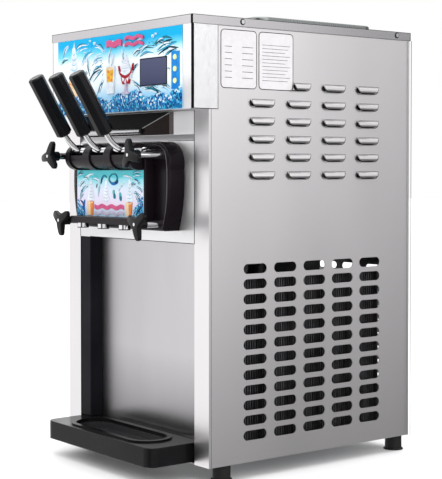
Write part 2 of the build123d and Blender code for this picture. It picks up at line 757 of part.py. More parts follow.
def drip_tray():
    """Black tray with a raised ring round its bowl."""
    depth = SPLASH_Y - 0.8 - TRAY_FRONT
    middle = TRAY_FRONT + depth / 2
    tray = Pos(0, middle, (TRAY_Z[0] + TRAY_Z[1]) / 2) * Box(
        2 * TRAY_HALF_W, depth, TRAY_Z[1] - TRAY_Z[0]
    )
    tray = fillet(tray.edges().filter_by(Axis.Z).sort_by(Axis.Y)[:2], TRAY_CORNER)
    tray = fillet(tray.faces().sort_by(Axis.Z)[-1].edges(), 1.2)
    tray += flat_plate(stadium(RING_L, RING_W), TRAY_Z[1], RING_UP)
    tray -= flat_plate(stadium(RING_L - 2 * RING_T, RING_W - 2 * RING_T), TRAY_Z[0] + 4, 40)
    return tray


def tray_insert():
    """Dish that drops into the tray's ring, with two drain slots along its sides."""
    length = RING_L - 2 * RING_T - 0.6
    width = RING_W - 2 * RING_T - 0.6
    top = TRAY_Z[1] - 3.5
    dish = flat_plate(stadium(length, width), top - 12, 12)
    dish -= flat_plate(stadium(length - 5, width - 5), top - 10, 20)
    for y in (RING_Y - 20, RING_Y + 20):
        dish -= block((-70, 70), (y - 1.2, y + 1.2), (top - 14, top - 8))
    legs = [
        Pos(x, RING_Y, (TRAY_Z[0] + 4 + top - 12) / 2) * Cylinder(5, top - 16 - TRAY_Z[0])
        for x in (-70, 70)
    ]
    return join([dish] + legs)


# Hoppers and lids


def hopper(x):
    """Open tub that hangs by its flange in the cap, with a feed pipe to the cylinder."""
    outer = RectangleRounded(HOPPER_W, HOPPER_L, HOPPER_CORNER)
    inner = RectangleRounded(HOPPER_W - 2.4, HOPPER_L - 2.4, HOPPER_CORNER - 1.2)
    rim = RectangleRounded(
        HOPPER_W + 2 * HOPPER_FLANGE, HOPPER_L + 2 * HOPPER_FLANGE, HOPPER_CORNER + HOPPER_FLANGE
    )
    low = CAP_TOP - HOPPER_DEPTH
    tub = flat_plate(outer, low, HOPPER_DEPTH + 1.2) + flat_plate(rim, CAP_TOP, 1.2)
    tub -= flat_plate(inner, low + 1.2, HOPPER_DEPTH + 10)
    tub = Pos(x, HOPPER_Y, 0) * tub
    pipe_x = math.copysign(CYL_X, x)
    top_of_cylinder = DOOR_AXIS_Z + CYL_R + CYL_WALL
    pipe_y = 170.0
    tub += rod((pipe_x, pipe_y, low + 0.5), (pipe_x, pipe_y, top_of_cylinder + 0.2), 12)
    return tub - rod((pipe_x, pipe_y, low + 5), (pipe_x, pipe_y, top_of_cylinder - 1), 10.5)


def hopper_lid(x):
    """Shallow lid with a turned-down skirt round the hopper's flange."""
    low = CAP_TOP + 0.3
    lid = flat_plate(RectangleRounded(LID_W, LID_L, LID_CORNER), low, LID_H)
    lid = fillet(lid.faces().sort_by(Axis.Z)[-1].edges(), 3.0)
    inner = RectangleRounded(LID_W - 2.4, LID_L - 2.4, LID_CORNER - 1.2)
    lid -= flat_plate(inner, low - 1, LID_H - 1.6)
    pads = []
    for y in (-LID_L / 2 + 5, LID_L / 2 - 5):
        pads.append(block((-50, 50), (y - 3.5, y + 3.5), (CAP_TOP + 1.25, low + LID_H - 2.4)))
    return Pos(x, HOPPER_Y, 0) * join([lid] + pads)


# Freezing cylinders and drive


def freezing_cylinder(x):
    """Open-fronted cylinder with a front collar and a bored rear wall."""
    z = DOOR_AXIS_Z
    shell = rod((x, 0.1, z), (x, CYL_L, z), CYL_R + CYL_WALL)
    shell -= rod((x, -1, z), (x, CYL_L - 6, z), CYL_R)
    shell -= rod((x, CYL_L - 10, z), (x, CYL_L + 1, z), 8.0 + FIT)
    feed = rod((x, 170, z), (x, 170, z + CYL_R + 5), 10.5)
    return shell - feed


def cylinder_insulation():
    """Foam block moulded round both cylinders."""
    foam = block((-116, 116), (10, CYL_L - 2), (DOOR_AXIS_Z - 56, DOOR_AXIS_Z + 56))
    foam = fillet(foam.edges().filter_by(Axis.Y), 18)
    for x in (-CYL_X, CYL_X):
        outer = CYL_R + CYL_WALL + 0.2
        foam -= rod((x, 0, DOOR_AXIS_Z), (x, CYL_L + 5, DOOR_AXIS_Z), outer)
        foam -= rod((x, 170, DOOR_AXIS_Z), (x, 170, DOOR_AXIS_Z + 60), 12.3)
    return foam


def beater(x):
    """Beater: drive shaft, end rings and two scraper bars joined by cross paddles."""
    z = DOOR_AXIS_Z
    shaft = rod((x, 16, z), (x, CYL_L + 24, z), 8.0)
    pieces = [shaft]
    for y in (16.0, CYL_L - 18):
        ring = rod((x, y, z), (x, y + 5, z), BEATER_R) - rod((x, y - 1, z), (x, y + 6, z), 33.0)
        pieces.append(ring)
    for y in (16.0, 94.0, 172.0, CYL_L - 18):
        pieces.append(block((x - 36, x + 36), (y, y + 5), (z - 4, z + 4)))
    for hand in (-1, 1):
        bar_x = sorted((x + hand * 34, x + hand * 39.6))
        pieces.append(block(bar_x, (16, CYL_L - 14), (z - 7, z + 7)))
    return join(pieces)


def gear_reducers():
    """Two reducer boxes, one behind each cylinder, on a shared bracket."""
    made = []
    for x in (-CYL_X, CYL_X):
        box = block((x - 44, x + 44), (CYL_L + 6, CYL_L + 76), (DOOR_AXIS_Z - 44, DOOR_AXIS_Z + 44))
        box = fillet(box.edges().filter_by(Axis.Y), 10)
        neck = rod((x, CYL_L, DOOR_AXIS_Z), (x, CYL_L + 6, DOOR_AXIS_Z), 22)
        bore = rod((x, CYL_L - 1, DOOR_AXIS_Z), (x, CYL_L + 30, DOOR_AXIS_Z), 8.0 + FIT)
        made.append(box + neck - bore)
    bridge = block((-19, 19), (CYL_L + 20, CYL_L + 60), (DOOR_AXIS_Z - 10, DOOR_AXIS_Z + 10))
    return join([made[0], bridge, made[1]])


def drive_motor():
    """Motor under the reducers, with feet on the frame's rear cross rail."""
    z = 318.0
    y = (250.0, 390.0)
    body = rod((-20, y[0], z), (-20, y[1], z), 52)
    body += rod((-20, y[0] - 12, z), (-20, y[0], z), 26)
    body = fillet(body.edges().filter_by(GeomType.CIRCLE).sort_by(Axis.Y)[-1], 8)
    top = block((-60, 20), (y[0] + 50, y[1] - 66), (z + 40, 374.5))
    return body + top


def compressor():
    """Sealed compressor can on a footplate, with suction and discharge stubs."""
    x, y, z = -90.0, 190.0, 27.5
    can = Pos(x, y, z + 86) * Cylinder(66, 150)
    can = fillet(can.edges().filter_by(GeomType.CIRCLE), 34)
    plate = block((x - 84, x + 84), (y - 62, y + 62), (z, z + 3))
    mounts = [
        Pos(x + sx * 72, y + sy * 50, z + 7) * Cylinder(9, 11) for sx in (-1, 1) for sy in (-1, 1)
    ]
    saddle = Pos(x, y, z + 8) * Cylinder(40, 12)
    stubs = [
        rod((x + 40, y + 60, z + 110), (x + 40, y + 30, z + 110), 4.5),
        rod((x - 40, y + 60, z + 90), (x - 40, y + 30, z + 90), 6.0),
    ]
    return join([can, plate, saddle] + mounts + stubs)


def condenser():
    """Finned coil behind the right side's slots."""
    pieces = []
    step = 5.0
    count = int((CONDENSER_Y[1] - CONDENSER_Y[0] - 8) / step)
    for fin in range(1, count + 1):
        y = CONDENSER_Y[0] + 4 + fin * step
        pieces.append(block(CONDENSER_X, (y, y + 0.6), CONDENSER_Z))
    for end in (CONDENSER_Y[0], CONDENSER_Y[1] - 2):
        pieces.append(block((CONDENSER_X[0] - 6, CONDENSER_X[1] + 6), (end, end + 2), CONDENSER_Z))
    for row in range(10):
        z = CONDENSER_Z[0] + 16 + 28 * row
        x = CONDENSER_X[0] + 9 + 10 * (row % 2)
        pieces.append(rod((x, CONDENSER_Y[0], z), (x, CONDENSER_Y[1], z), 4.0))
    foot_z = (FOOT_H + 1.5, CONDENSER_Z[0])
    pieces.append(block(CONDENSER_X, (CONDENSER_Y[0], CONDENSER_Y[1]), foot_z))
    return join(pieces)


def fan_shroud():
    """Square plate with a round opening and the fan motor on three arms."""
    x = (FAN_X - 3, FAN_X - 1)
    plate = block(x, (FAN_Y - 108, FAN_Y + 108), (FOOT_H + 1.5, FAN_Z + 108))
    plate -= rod((x[0] - 2, FAN_Y, FAN_Z), (x[1] + 2, FAN_Y, FAN_Z), FAN_R + 4)
    motor = rod((FAN_X - 46, FAN_Y, FAN_Z), (FAN_X - 8, FAN_Y, FAN_Z), 26)
    shaft = rod((FAN_X - 8, FAN_Y, FAN_Z), (FAN_X + 14, FAN_Y, FAN_Z), 3.0)
    arms = []
    for arm in range(3):
        bar = block((FAN_X - 12, FAN_X - 8), (-4, 4), (20, FAN_R + 10))
        tab = block((FAN_X - 12, FAN_X - 3), (-4, 4), (FAN_R + 6, FAN_R + 12))
        arms.append(Pos(0, FAN_Y, FAN_Z) * Rot(120 * arm, 0, 0) * (bar + tab))
    return join([motor, shaft, plate] + arms)


def condenser_fan():
    """Fan rotor: hub with five twisted blades."""
    hub = rod((FAN_X, FAN_Y, FAN_Z), (FAN_X + 12, FAN_Y, FAN_Z), 20)
    blades = []
    for blade in range(5):
        paddle = Pos(0, 0, 54) * Rot(0, 0, 28) * Box(1.6, 34, 74)
        blades.append(Pos(FAN_X + 6, FAN_Y, FAN_Z) * Rot(72 * blade, 0, 0) * paddle)
    rotor = join([hub] + blades)
    return rotor - rod((FAN_X - 20, FAN_Y, FAN_Z), (FAN_X + 30, FAN_Y, FAN_Z), 3.0 + FIT)


# Assembly


def build_parts():
    """Every piece by node name, in the working axes."""
    side = right_side_panel()
    parts = {
        "base_pan": base_pan(),
        "inner_frame": inner_frame(),
        "side_panel_right": side,
        "side_panel_left": mirror_x(side),
        "rear_panel": rear_panel(),
        "lead_gland": gland(),
        "top_cover": top_cover(),
        "cover_screws": cover_screws(),
        "feet": feet(),
        "side_plates": side_plates(),
        "header_shell": header_shell(),
        "header_graphic": header_graphic(),
        "display_window": display_window(),
        "keypad_strip": keypad_strip(),
        "control_board": control_board(),
        "dispense_panel": dispense_panel(),
        "splash_panel": splash_panel(),
        "drain_column": drain_column(),
        "freezer_door": freezer_door(),
        "door_graphic": door_graphic(),
        "door_seals": Compound([seal_ring(-CYL_X), seal_ring(CYL_X)]),
        "outlet_nozzles": outlet_nozzles(),
        "pivot_pin": pivot_pin(),
        "pivot_clip": pivot_clip(),
        "door_studs": door_studs(),
        "drip_tray": drip_tray(),
        "tray_insert": tray_insert(),
        "hoppers": Compound([hopper(-HOPPER_X), hopper(HOPPER_X)]),
        "hopper_lid_left": hopper_lid(-HOPPER_X),
        "hopper_lid_right": hopper_lid(HOPPER_X),
        "freezing_cylinders": Compound([freezing_cylinder(-CYL_X), freezing_cylinder(CYL_X)]),
        "cylinder_insulation": cylinder_insulation(),
        "beater_left": beater(-CYL_X),
        "beater_right": beater(CYL_X),
        "gear_reducers": gear_reducers(),
        "drive_motor": drive_motor(),
        "compressor": compressor(),
        "condenser": condenser(),
        "fan_shroud": fan_shroud(),
        "condenser_fan": condenser_fan(),
    }
    for number, z in enumerate(BUTTON_Z, start=1):
        parts[f"button_{number}"] = push_button(z)
    for name, x in zip(SIDES, HANDLE_X):
        parts[f"draw_lever_{name}"] = draw_lever(x)
        parts[f"draw_grip_{name}"] = draw_grip(x)
        parts[f"draw_valve_{name}"] = draw_valve(x)
    for name, (x, z, front, turn) in KNOBS.items():
        parts[f"knob_{name}"] = star_knob(x, z, front, turn)
        parts[f"shank_{name}"] = knob_shank(x, z, front)
    return parts


def overall_box(parts):
    """Box round all the pieces."""
    return Compound(list(parts.values())).bounding_box()


def place_origin(parts):
    """Move every piece along Y so that the footprint's middle is at the origin."""
    shift = -overall_box(parts).center().Y
    return {name: Pos(0, shift, 0) * shape for name, shape in parts.items()}, shift


def main():
    parts, shift = place_origin(build_parts())
    os.makedirs("parts", exist_ok=True)
    for name, shape in parts.items():
        export_step(shape, os.path.join("parts", f"{name}.step"))
    size = overall_box(parts).size
    print(f"{len(parts)} parts, {size.X:.1f} x {size.Y:.1f} x {size.Z:.1f}, shift {shift:.3f}")


if __name__ == "__main__":
    main()
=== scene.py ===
"""Looks of the soft serve machine: materials, printed films, seams, guard, studio and camera."""

import math
import random

import bmesh
import bpy
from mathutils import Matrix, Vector

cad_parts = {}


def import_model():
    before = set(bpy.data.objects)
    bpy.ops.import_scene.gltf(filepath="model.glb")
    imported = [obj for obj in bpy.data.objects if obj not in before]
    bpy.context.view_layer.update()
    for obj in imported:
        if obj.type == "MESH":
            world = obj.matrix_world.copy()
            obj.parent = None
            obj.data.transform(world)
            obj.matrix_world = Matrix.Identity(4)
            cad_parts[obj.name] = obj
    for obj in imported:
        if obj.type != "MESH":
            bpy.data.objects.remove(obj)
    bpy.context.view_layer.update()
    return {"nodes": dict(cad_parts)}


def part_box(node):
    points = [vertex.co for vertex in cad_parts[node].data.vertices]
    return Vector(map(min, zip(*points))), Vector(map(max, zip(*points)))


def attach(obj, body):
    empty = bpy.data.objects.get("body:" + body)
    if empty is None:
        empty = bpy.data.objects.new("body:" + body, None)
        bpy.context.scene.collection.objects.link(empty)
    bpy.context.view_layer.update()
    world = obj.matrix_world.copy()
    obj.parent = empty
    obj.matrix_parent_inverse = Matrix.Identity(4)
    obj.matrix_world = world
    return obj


MM = 0.001

# Camera: place in metres and aim in degrees, in the shared frame
CAMERA_AT = (1.8191, -1.3696, 0.4862)
CAMERA_AZIMUTH = 52.17
CAMERA_PITCH = -1.42
CAMERA_LENS = 99.6
CAMERA_SHIFT_Y = -0.0762

# Studio glow: strength, and the heights of a direction over which it turns to the upper band and
# to the roof
GLOW_STRENGTH = 2.2
GLOW_RISE = (-0.22, 0.18)
GLOW_ROOF = (0.35, 0.85)

# Films of print and of painted shade, reflection and highlight: thickness of the film, step from one
# shape to the next, and where an ink is dark
FILM_T = 0.03 * MM
INK_STEP = 0.0015 * MM
DARK_INK = 0.06
FILM_ROUGHNESS = 0.28
INKS = {
    "white": (0.70, 0.77, 0.84), "lilac": (0.50, 0.46, 0.60), "pale_blue": (0.26, 0.52, 0.74),
    "cyan": (0.035, 0.36, 0.60), "blue": (0.008, 0.13, 0.40), "navy": (0.004, 0.035, 0.15),
    "teal": (0.012, 0.17, 0.24), "dark_teal": (0.005, 0.035, 0.055), "mint": (0.09, 0.44, 0.42),
    "yellow": (0.74, 0.42, 0.03), "orange": (0.72, 0.22, 0.04), "cream": (0.74, 0.56, 0.36),
    "red": (0.36, 0.006, 0.02), "pink": (0.58, 0.09, 0.22), "grey": (0.14, 0.15, 0.18),
    "rule": (0.09, 0.09, 0.095), "seam_and_shade": (0.008, 0.008, 0.009), "near_black": (0.004, 0.004, 0.004),
    "painted_reflection_dark": (0.030, 0.022, 0.020), "painted_reflection_brown": (0.14, 0.12, 0.12), "edge": (0.42, 0.42, 0.43),
    "painted_highlight": (0.16, 0.14, 0.16),
}

# Colours of the two films from the foot up, by share of the height
HEADER_SKY = [
    (0.30, (0.30, 0.56, 0.76)), (0.48, (0.70, 0.78, 0.83)), (0.78, (0.76, 0.82, 0.85)),
    (0.90, (0.14, 0.57, 0.76)), (1.0, (0.0, 0.36, 0.66))]
DOOR_SKY = [
    (0.20, (0.40, 0.56, 0.70)), (0.42, (0.66, 0.58, 0.72)), (0.72, (0.60, 0.66, 0.78)),
    (0.95, (0.24, 0.60, 0.66)), (1.0, (0.07, 0.46, 0.52))]

# Places on the cabinet, in mm
CAP_RIM = 709.0                      # foot of the top cover's rim
SEAM_EDGE = 167.0                    # side gaps of the front panels
PANEL_FOLD = 533.5                   # fold of the dispense panel
CAP_SCREWS = ((-74.2, 716.8), (264.3, 716.8))
SCREW_RING = (4.9, 3.5)
LOUVRE_FIRST = (-34.7, 625.4)
LOUVRE_PITCH = (76.5, 28.4)
LOUVRE_GRID = (4, 6)
LOUVRE_EDGE = ((-23.4, 0), (-22, -6), (-16, -11.2), (0, -11.3), (16, -11.2), (22, -6), (23.4, 0))
PLATE_CUT = 6.5                      # the side plate covers this much of one louvre
PLATE_WIDTH = 71.7
WINDOW = (68.0, 139.0, 621.0, 662.0)
WINDOW_BORDER = 1.6
# Painted reflection under the header: its left end (shared with the steel roll), foot and top, in mm
RECESS_LEFT, REFLECTION_FOOT, REFLECTION_TOP = -166.0, 543.0, 579.6
ROLL_Z, ROLL_R, ROLL_LENGTH = 550.2, 4.7, 181.0
# Path of the painted highlight along the rounded edge of the door's flange, in mm
DOOR_HIGHLIGHT = ((96, 526.6), (116.4, 523.8), (129.2, 515.5), (134.4, 500), (136.0, 480), (135.2, 450),
             (131.4, 420), (123.4, 395))
NOZZLE_X = (-62.0, 0.0, 62.0)
NOZZLE_R = 9.25


# ---------------------------------------------------------------- node helpers


def grey(value):
    """A neutral colour."""
    return (value, value, value)


def new_material(name, colour, roughness, metallic=0.0, **sockets):
    """A Principled material. The named sockets are set on the shader itself."""
    material = bpy.data.materials.new(name)
    material.use_nodes = True
    shader = material.node_tree.nodes["Principled BSDF"]
    shader.inputs["Base Color"].default_value = (*colour, 1)
    shader.inputs["Roughness"].default_value = roughness
    shader.inputs["Metallic"].default_value = metallic
    for socket, value in sockets.items():
        shader.inputs[socket.replace("_", " ")].default_value = value
    return material, material.node_tree, shader


def node(tree, kind, **inputs):
    """A node of the tree with some of its inputs set by name."""
    made = tree.nodes.new(kind)
    for key, value in inputs.items():
        made.inputs[key.replace("_", " ")].default_value = value
    return made


def place(tree, scale):
    """Object coordinates, stretched by a scale along each axis."""
    coords = tree.nodes.new("ShaderNodeTexCoord")
    mapping = node(tree, "ShaderNodeMapping", Scale=scale)
    tree.links.new(coords.outputs["Object"], mapping.inputs["Vector"])
    return mapping.outputs["Vector"]


def noise(tree, scale, detail, roughness):
    """Noise factor over stretched object coordinates."""
    made = node(tree, "ShaderNodeTexNoise", Scale=1.0, Detail=detail, Roughness=roughness)
    tree.links.new(place(tree, scale), made.inputs["Vector"])
    return made.outputs["Fac"]


def ramp(tree, factor, stops):
    """Colour ramp from a list of (position, colour)."""
    made = tree.nodes.new("ShaderNodeValToRGB")
    elements = made.color_ramp.elements
    while len(elements) < len(stops):
        elements.new(0.5)
    for element, (position, colour) in zip(elements, stops):
        element.position = position
        element.color = (*colour, 1)
    tree.links.new(factor, made.inputs["Fac"])
    return made.outputs["Color"]


def spread(tree, factor, low, high, start=0.3, end=0.7):
    """Factor mapped from start..end to low..high."""
    made = tree.nodes.new("ShaderNodeMapRange")
    for key, value in (("From Min", start), ("From Max", end), ("To Min", low), ("To Max", high)):
        made.inputs[key].default_value = value
    tree.links.new(factor, made.inputs["Value"])
    return made.outputs["Result"]


def mix(tree, factor, first, second, blend="MIX"):
    """Two colours mixed; the factor is a number or a socket."""
    made = tree.nodes.new("ShaderNodeMix")
    made.data_type = "RGBA"
    made.blend_type = blend
    for socket, value in ((made.inputs["Factor"], factor), (made.inputs["A"], first),
                          (made.inputs["B"], second)):
        if isinstance(value, bpy.types.NodeSocket):
            tree.links.new(value, socket)
        else:
            socket.default_value = value
    return made.outputs["Result"]


def bump(tree, shader, height, strength, distance=0.0002):
    """Bump from a height factor into the shader's normal."""
    made = node(tree, "ShaderNodeBump", Strength=strength, Distance=distance)
    tree.links.new(height, made.inputs["Height"])
    tree.links.new(made.outputs["Normal"], shader.inputs["Normal"])


def axis_value(tree, axis, low, high):
    """0 to 1 along one object axis between two places in metres."""
    coords = tree.nodes.new("ShaderNodeTexCoord")
    split = tree.nodes.new("ShaderNodeSeparateXYZ")
    tree.links.new(coords.outputs["Object"], split.inputs["Vector"])
    return spread(tree, split.outputs[axis], 0.0, 1.0, low, high)


# ---------------------------------------------------------------- materials


def brushed(name, dark, light, grain, roughness, strength, cloud=(3, 3, 1.2), across=0.0,
            tray_reflection_span=None, streak=0.955):
    """Brushed steel: fine streaks along one direction over broad, soft cloudiness.

    Steel brushed upright smears its reflections across the streaks, along X. Between the two
    heights given for the tray, its colour darkens downwards: painted reflection of the tray.
    """
    material, tree, shader = new_material(name, light, roughness[0], 1.0, Anisotropic=across)
    if across:
        smear = node(tree, "ShaderNodeCombineXYZ", X=1.0)
        tree.links.new(smear.outputs["Vector"], shader.inputs["Tangent"])
    streaks = noise(tree, grain, 4.0, 0.62)
    clouds = noise(tree, cloud, 2.0, 0.45)
    tone = ramp(tree, clouds, [(0.32, dark), (0.68, light)])
    fine = ramp(tree, streaks, [(0.3, grey(streak)), (0.7, grey(1.0))])
    colour = mix(tree, 1.0, tone, fine, "MULTIPLY")
    # Painted reflection of the dark drip tray: the colour darkens downwards towards it
    if tray_reflection_span:
        painted_tray_reflection = ramp(tree, axis_value(tree, "Z", *tray_reflection_span), [(0.0, grey(0.45)), (1.0, grey(1.0))])
        colour = mix(tree, 1.0, colour, painted_tray_reflection, "MULTIPLY")
    tree.links.new(colour, shader.inputs["Base Color"])
    tree.links.new(spread(tree, streaks, *roughness), shader.inputs["Roughness"])
    bump(tree, shader, streaks, strength)
    return material


def moulded_plastic(name, colour, roughness, grain, strength, shine=0.16):
    """Moulded plastic: fine surface grain and slow changes of gloss and tone."""
    material, tree, shader = new_material(name, colour, roughness, Specular_IOR_Level=shine)
    fine = noise(tree, (grain, grain, grain), 2.0, 0.6)
    slow = noise(tree, (14, 14, 14), 3.0, 0.55)
    brighter = tuple(min(1.0, c * 1.35 + 0.001) for c in colour)
    tree.links.new(ramp(tree, slow, [(0.35, colour), (0.7, brighter)]), shader.inputs["Base Color"])
    tree.links.new(spread(tree, slow, roughness - 0.05, roughness + 0.09),
                   shader.inputs["Roughness"])
    bump(tree, shader, fine, strength, 0.00008)
    return material


def polished_metal(name, colour, roughness):
    """Polished metal with faint wipe marks."""
    material, tree, shader = new_material(name, colour, roughness, 1.0)
    marks = noise(tree, (60, 60, 260), 4.0, 0.6)
    tree.links.new(spread(tree, marks, roughness * 0.6, roughness * 1.9), shader.inputs["Roughness"])
    darker = tuple(c * 0.88 for c in colour)
    tree.links.new(ramp(tree, marks, [(0.3, darker), (0.7, colour)]), shader.inputs["Base Color"])
    return material


def painted(name, colour, roughness=0.4):
    """Sprayed paint with orange peel."""
    material, tree, shader = new_material(name, colour, roughness, Coat_Weight=0.2)
    peel = noise(tree, (240, 240, 240), 2.0, 0.5)
    slow = noise(tree, (9, 9, 9), 3.0, 0.5)
    brighter = tuple(min(1.0, c * 1.2 + 0.01) for c in colour)
    tree.links.new(ramp(tree, slow, [(0.35, colour), (0.7, brighter)]), shader.inputs["Base Color"])
    bump(tree, shader, peel, 0.15, 0.0002)
    return material


def printed_film(name, colour, node_name, grain, wobble, shine, sky):
    """Printed film: a sky of colours from foot to top, its edges broken up by a slow noise."""
    low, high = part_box(node_name)
    material, tree, shader = new_material(name, colour, FILM_ROUGHNESS, Specular_IOR_Level=shine)
    height = axis_value(tree, "Z", low.z, high.z)
    shifted = tree.nodes.new("ShaderNodeMath")
    shifted.operation = "MULTIPLY_ADD"
    tree.links.new(noise(tree, *grain), shifted.inputs[0])
    shifted.inputs[1].default_value = wobble
    tree.links.new(height, shifted.inputs[2])
    tree.links.new(ramp(tree, shifted.outputs[0], sky), shader.inputs["Base Color"])
    return material


def flat_ink(name, colour, darker=None):
    """Flat ink with slight mottling, under the film's gloss; inks serve print and also painted shade,
    reflection and highlight.
    """
    shine = 0.06 if max(colour) > DARK_INK else 0.02
    material, tree, shader = new_material(name, colour, 0.30, Specular_IOR_Level=shine)
    low = darker or tuple(c * 0.8 for c in colour)
    mottle = noise(tree, (120, 120, 120), 3.0, 0.6)
    tree.links.new(ramp(tree, mottle, [(0.38, low), (0.62, colour)]), shader.inputs["Base Color"])
    return material


def display_glass(low, high):
    """Dark window, a little lighter to the top, with a faint wiped sheen."""
    material, tree, shader = new_material("display_glass", (0.06, 0.07, 0.13), 0.18,
                                          Specular_IOR_Level=0.08)
    height = axis_value(tree, "Z", low, high)
    tone = ramp(tree, height, [(0.0, (0.040, 0.046, 0.100)), (1.0, (0.065, 0.073, 0.14))])
    tree.links.new(tone, shader.inputs["Base Color"])
    smear = noise(tree, (40, 40, 90), 3.0, 0.6)
    tree.links.new(spread(tree, smear, 0.14, 0.26), shader.inputs["Roughness"])
    return material


def fins():
    """Condenser fins: dull aluminium in dark stripes, painted shade between the fins."""
    material, tree, shader = new_material("fin_aluminium", (0.30, 0.30, 0.31), 0.45, 1.0)
    fin_shade = noise(tree, (30, 700, 12), 2.0, 0.5)
    tone = ramp(tree, fin_shade, [(0.35, (0.16, 0.155, 0.165)), (0.65, (0.36, 0.35, 0.37))])
    tree.links.new(tone, shader.inputs["Base Color"])
    return material


def make_materials():
    """All materials, by the name that the tables below use."""
    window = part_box("display_window")
    tray_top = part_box("drip_tray")[1].z
    return {
        "side_steel": brushed("side_steel", (0.60, 0.585, 0.595), (0.67, 0.65, 0.665), (90, 60, 900),
                              (0.285, 0.305), 0.004, (2.0, 4.2, 1.6), streak=0.985),
        # Darker copy of the side steel: painted shade on the rear panel's strip at the back corner
        "shaded_rear_steel": brushed("shaded_rear_steel", (0.40, 0.39, 0.40), (0.46, 0.45, 0.46), (90, 60, 900),
                              (0.285, 0.305), 0.004, (2.0, 4.2, 1.6)),
        "front_steel": brushed("front_steel", (0.70, 0.69, 0.705), (0.78, 0.77, 0.785),
                               (1500, 90, 30), (0.34, 0.40), 0.02, (8, 4, 1.0), 0.9),
        # Darker than the front steel: painted shade of the recess above the tray; darker still low
        # down, a painted reflection of the tray
        "splash_steel": brushed("splash_steel", (0.44, 0.425, 0.44), (0.50, 0.485, 0.50),
                                (1500, 60, 16), (0.28, 0.32), 0.02, (7, 4, 2.0), 0.7,
                                (tray_top, tray_top + 0.13)),
        "cap_steel": brushed("cap_steel", (0.38, 0.37, 0.38), (0.44, 0.43, 0.44), (30, 30, 2200),
                             (0.22, 0.27), 0.01, (3, 3, 3)),
        "frame_steel": brushed("frame_steel", (0.20, 0.205, 0.21), (0.30, 0.305, 0.31),
                               (90, 90, 90), (0.35, 0.5), 0.1),
        "bare_steel": brushed("bare_steel", (0.42, 0.42, 0.43), (0.56, 0.56, 0.57),
                              (300, 300, 40), (0.2, 0.34), 0.05),
        "lid_steel": brushed("lid_steel", (0.17, 0.18, 0.18), (0.25, 0.26, 0.26), (40, 700, 40),
                             (0.24, 0.34), 0.04),
        "chrome": polished_metal("chrome", (0.66, 0.66, 0.68), 0.05),
        "door_black": moulded_plastic("door_black", (0.0048, 0.0030, 0.0046), 0.28, 700, 0.06,
                                      shine=0.11),
        "grip_black": moulded_plastic("grip_black", (0.0026, 0.0027, 0.0036), 0.20, 1100, 0.05,
                                      shine=0.13),
        "knob_black": moulded_plastic("knob_black", (0.0036, 0.0036, 0.0040), 0.24, 1000, 0.06,
                                      shine=0.13),
        "duct_black": moulded_plastic("duct_black", (0.0105, 0.0098, 0.0125), 0.34, 800, 0.06,
                                      shine=0.02),
        "tray_black": moulded_plastic("tray_black", (0.0050, 0.0050, 0.0056), 0.20, 500, 0.04,
                                      shine=0.08),
        # The tray's black plastic made lighter: painted light on the insert's inner walls
        "lit_insert_black": moulded_plastic("lit_insert_black", (0.026, 0.025, 0.027), 0.24, 500, 0.04,
                                        shine=0.16),
        "rubber": moulded_plastic("rubber", (0.010, 0.010, 0.010), 0.6, 600, 0.2),
        "header_film": printed_film("header_film", (0.8, 0.93, 1.0), "header_graphic",
                                    ((9, 1, 16), 3.0, 0.55), 0.22, 0.06, HEADER_SKY),
        "door_film": printed_film("door_film", (0.85, 0.9, 0.95), "door_graphic",
                                  ((16, 1, 22), 3.0, 0.6), 0.30, 0.12, DOOR_SKY),
        "display_glass": display_glass(window[0].z, window[1].z),
        "key_blue": flat_ink("key_blue", (0.012, 0.24, 0.60), (0.008, 0.17, 0.52)),
        "key_yellow": moulded_plastic("key_yellow", (0.60, 0.68, 0.30), 0.3, 600, 0.04),
        "plate_white": flat_ink("plate_white", (0.60, 0.585, 0.60), (0.57, 0.555, 0.57)),
        "board_green": painted("board_green", (0.03, 0.16, 0.07), 0.35),
        "foam": moulded_plastic("foam", (0.62, 0.56, 0.42), 0.8, 260, 0.5),
        "food_white": moulded_plastic("food_white", (0.76, 0.76, 0.74), 0.38, 500, 0.08),
        "fin_aluminium": fins(),
        "machine_black": painted("machine_black", (0.02, 0.02, 0.022)),
        "machine_grey": painted("machine_grey", (0.16, 0.17, 0.19)),
    }


NODE_LOOKS = {
    "side_steel": ("side_panel_right", "side_panel_left"),
    "shaded_rear_steel": ("rear_panel",),
    "front_steel": ("header_shell", "dispense_panel"),
    "splash_steel": ("splash_panel",),
    "cap_steel": ("top_cover",),
    "frame_steel": ("base_pan", "inner_frame"),
    "bare_steel": ("cover_screws", "pivot_pin", "door_studs", "hoppers", "freezing_cylinders"),
    "lid_steel": ("hopper_lid_left", "hopper_lid_right"),
    "chrome": ("outlet_nozzles", "pivot_clip", "draw_lever_left", "draw_lever_centre",
               "draw_lever_right", "shank_upper_left", "shank_upper_right",
               "shank_lower_left", "shank_lower_right"),
    "door_black": ("freezer_door",),
    "grip_black": ("draw_grip_left", "draw_grip_centre", "draw_grip_right"),
    "knob_black": ("lead_gland", "condenser_fan", "knob_upper_left", "knob_upper_right",
                   "knob_lower_left", "knob_lower_right"),
    "duct_black": ("drain_column",),
    "tray_black": ("drip_tray",),
    "lit_insert_black": ("tray_insert",),
    "rubber": ("feet", "door_seals"),
    "header_film": ("header_graphic",),
    "door_film": ("door_graphic",),
    "display_glass": ("display_window",),
    "key_blue": ("keypad_strip",),
    "key_yellow": ("button_1", "button_2", "button_3"),
    "plate_white": ("side_plates",),
    "board_green": ("control_board",),
    "foam": ("cylinder_insulation",),
    "food_white": ("beater_left", "beater_right", "draw_valve_left", "draw_valve_centre",
                   "draw_valve_right"),
    "fin_aluminium": ("condenser",),
    "machine_black": ("compressor", "drive_motor", "fan_shroud"),
    "machine_grey": ("gear_reducers",),
}


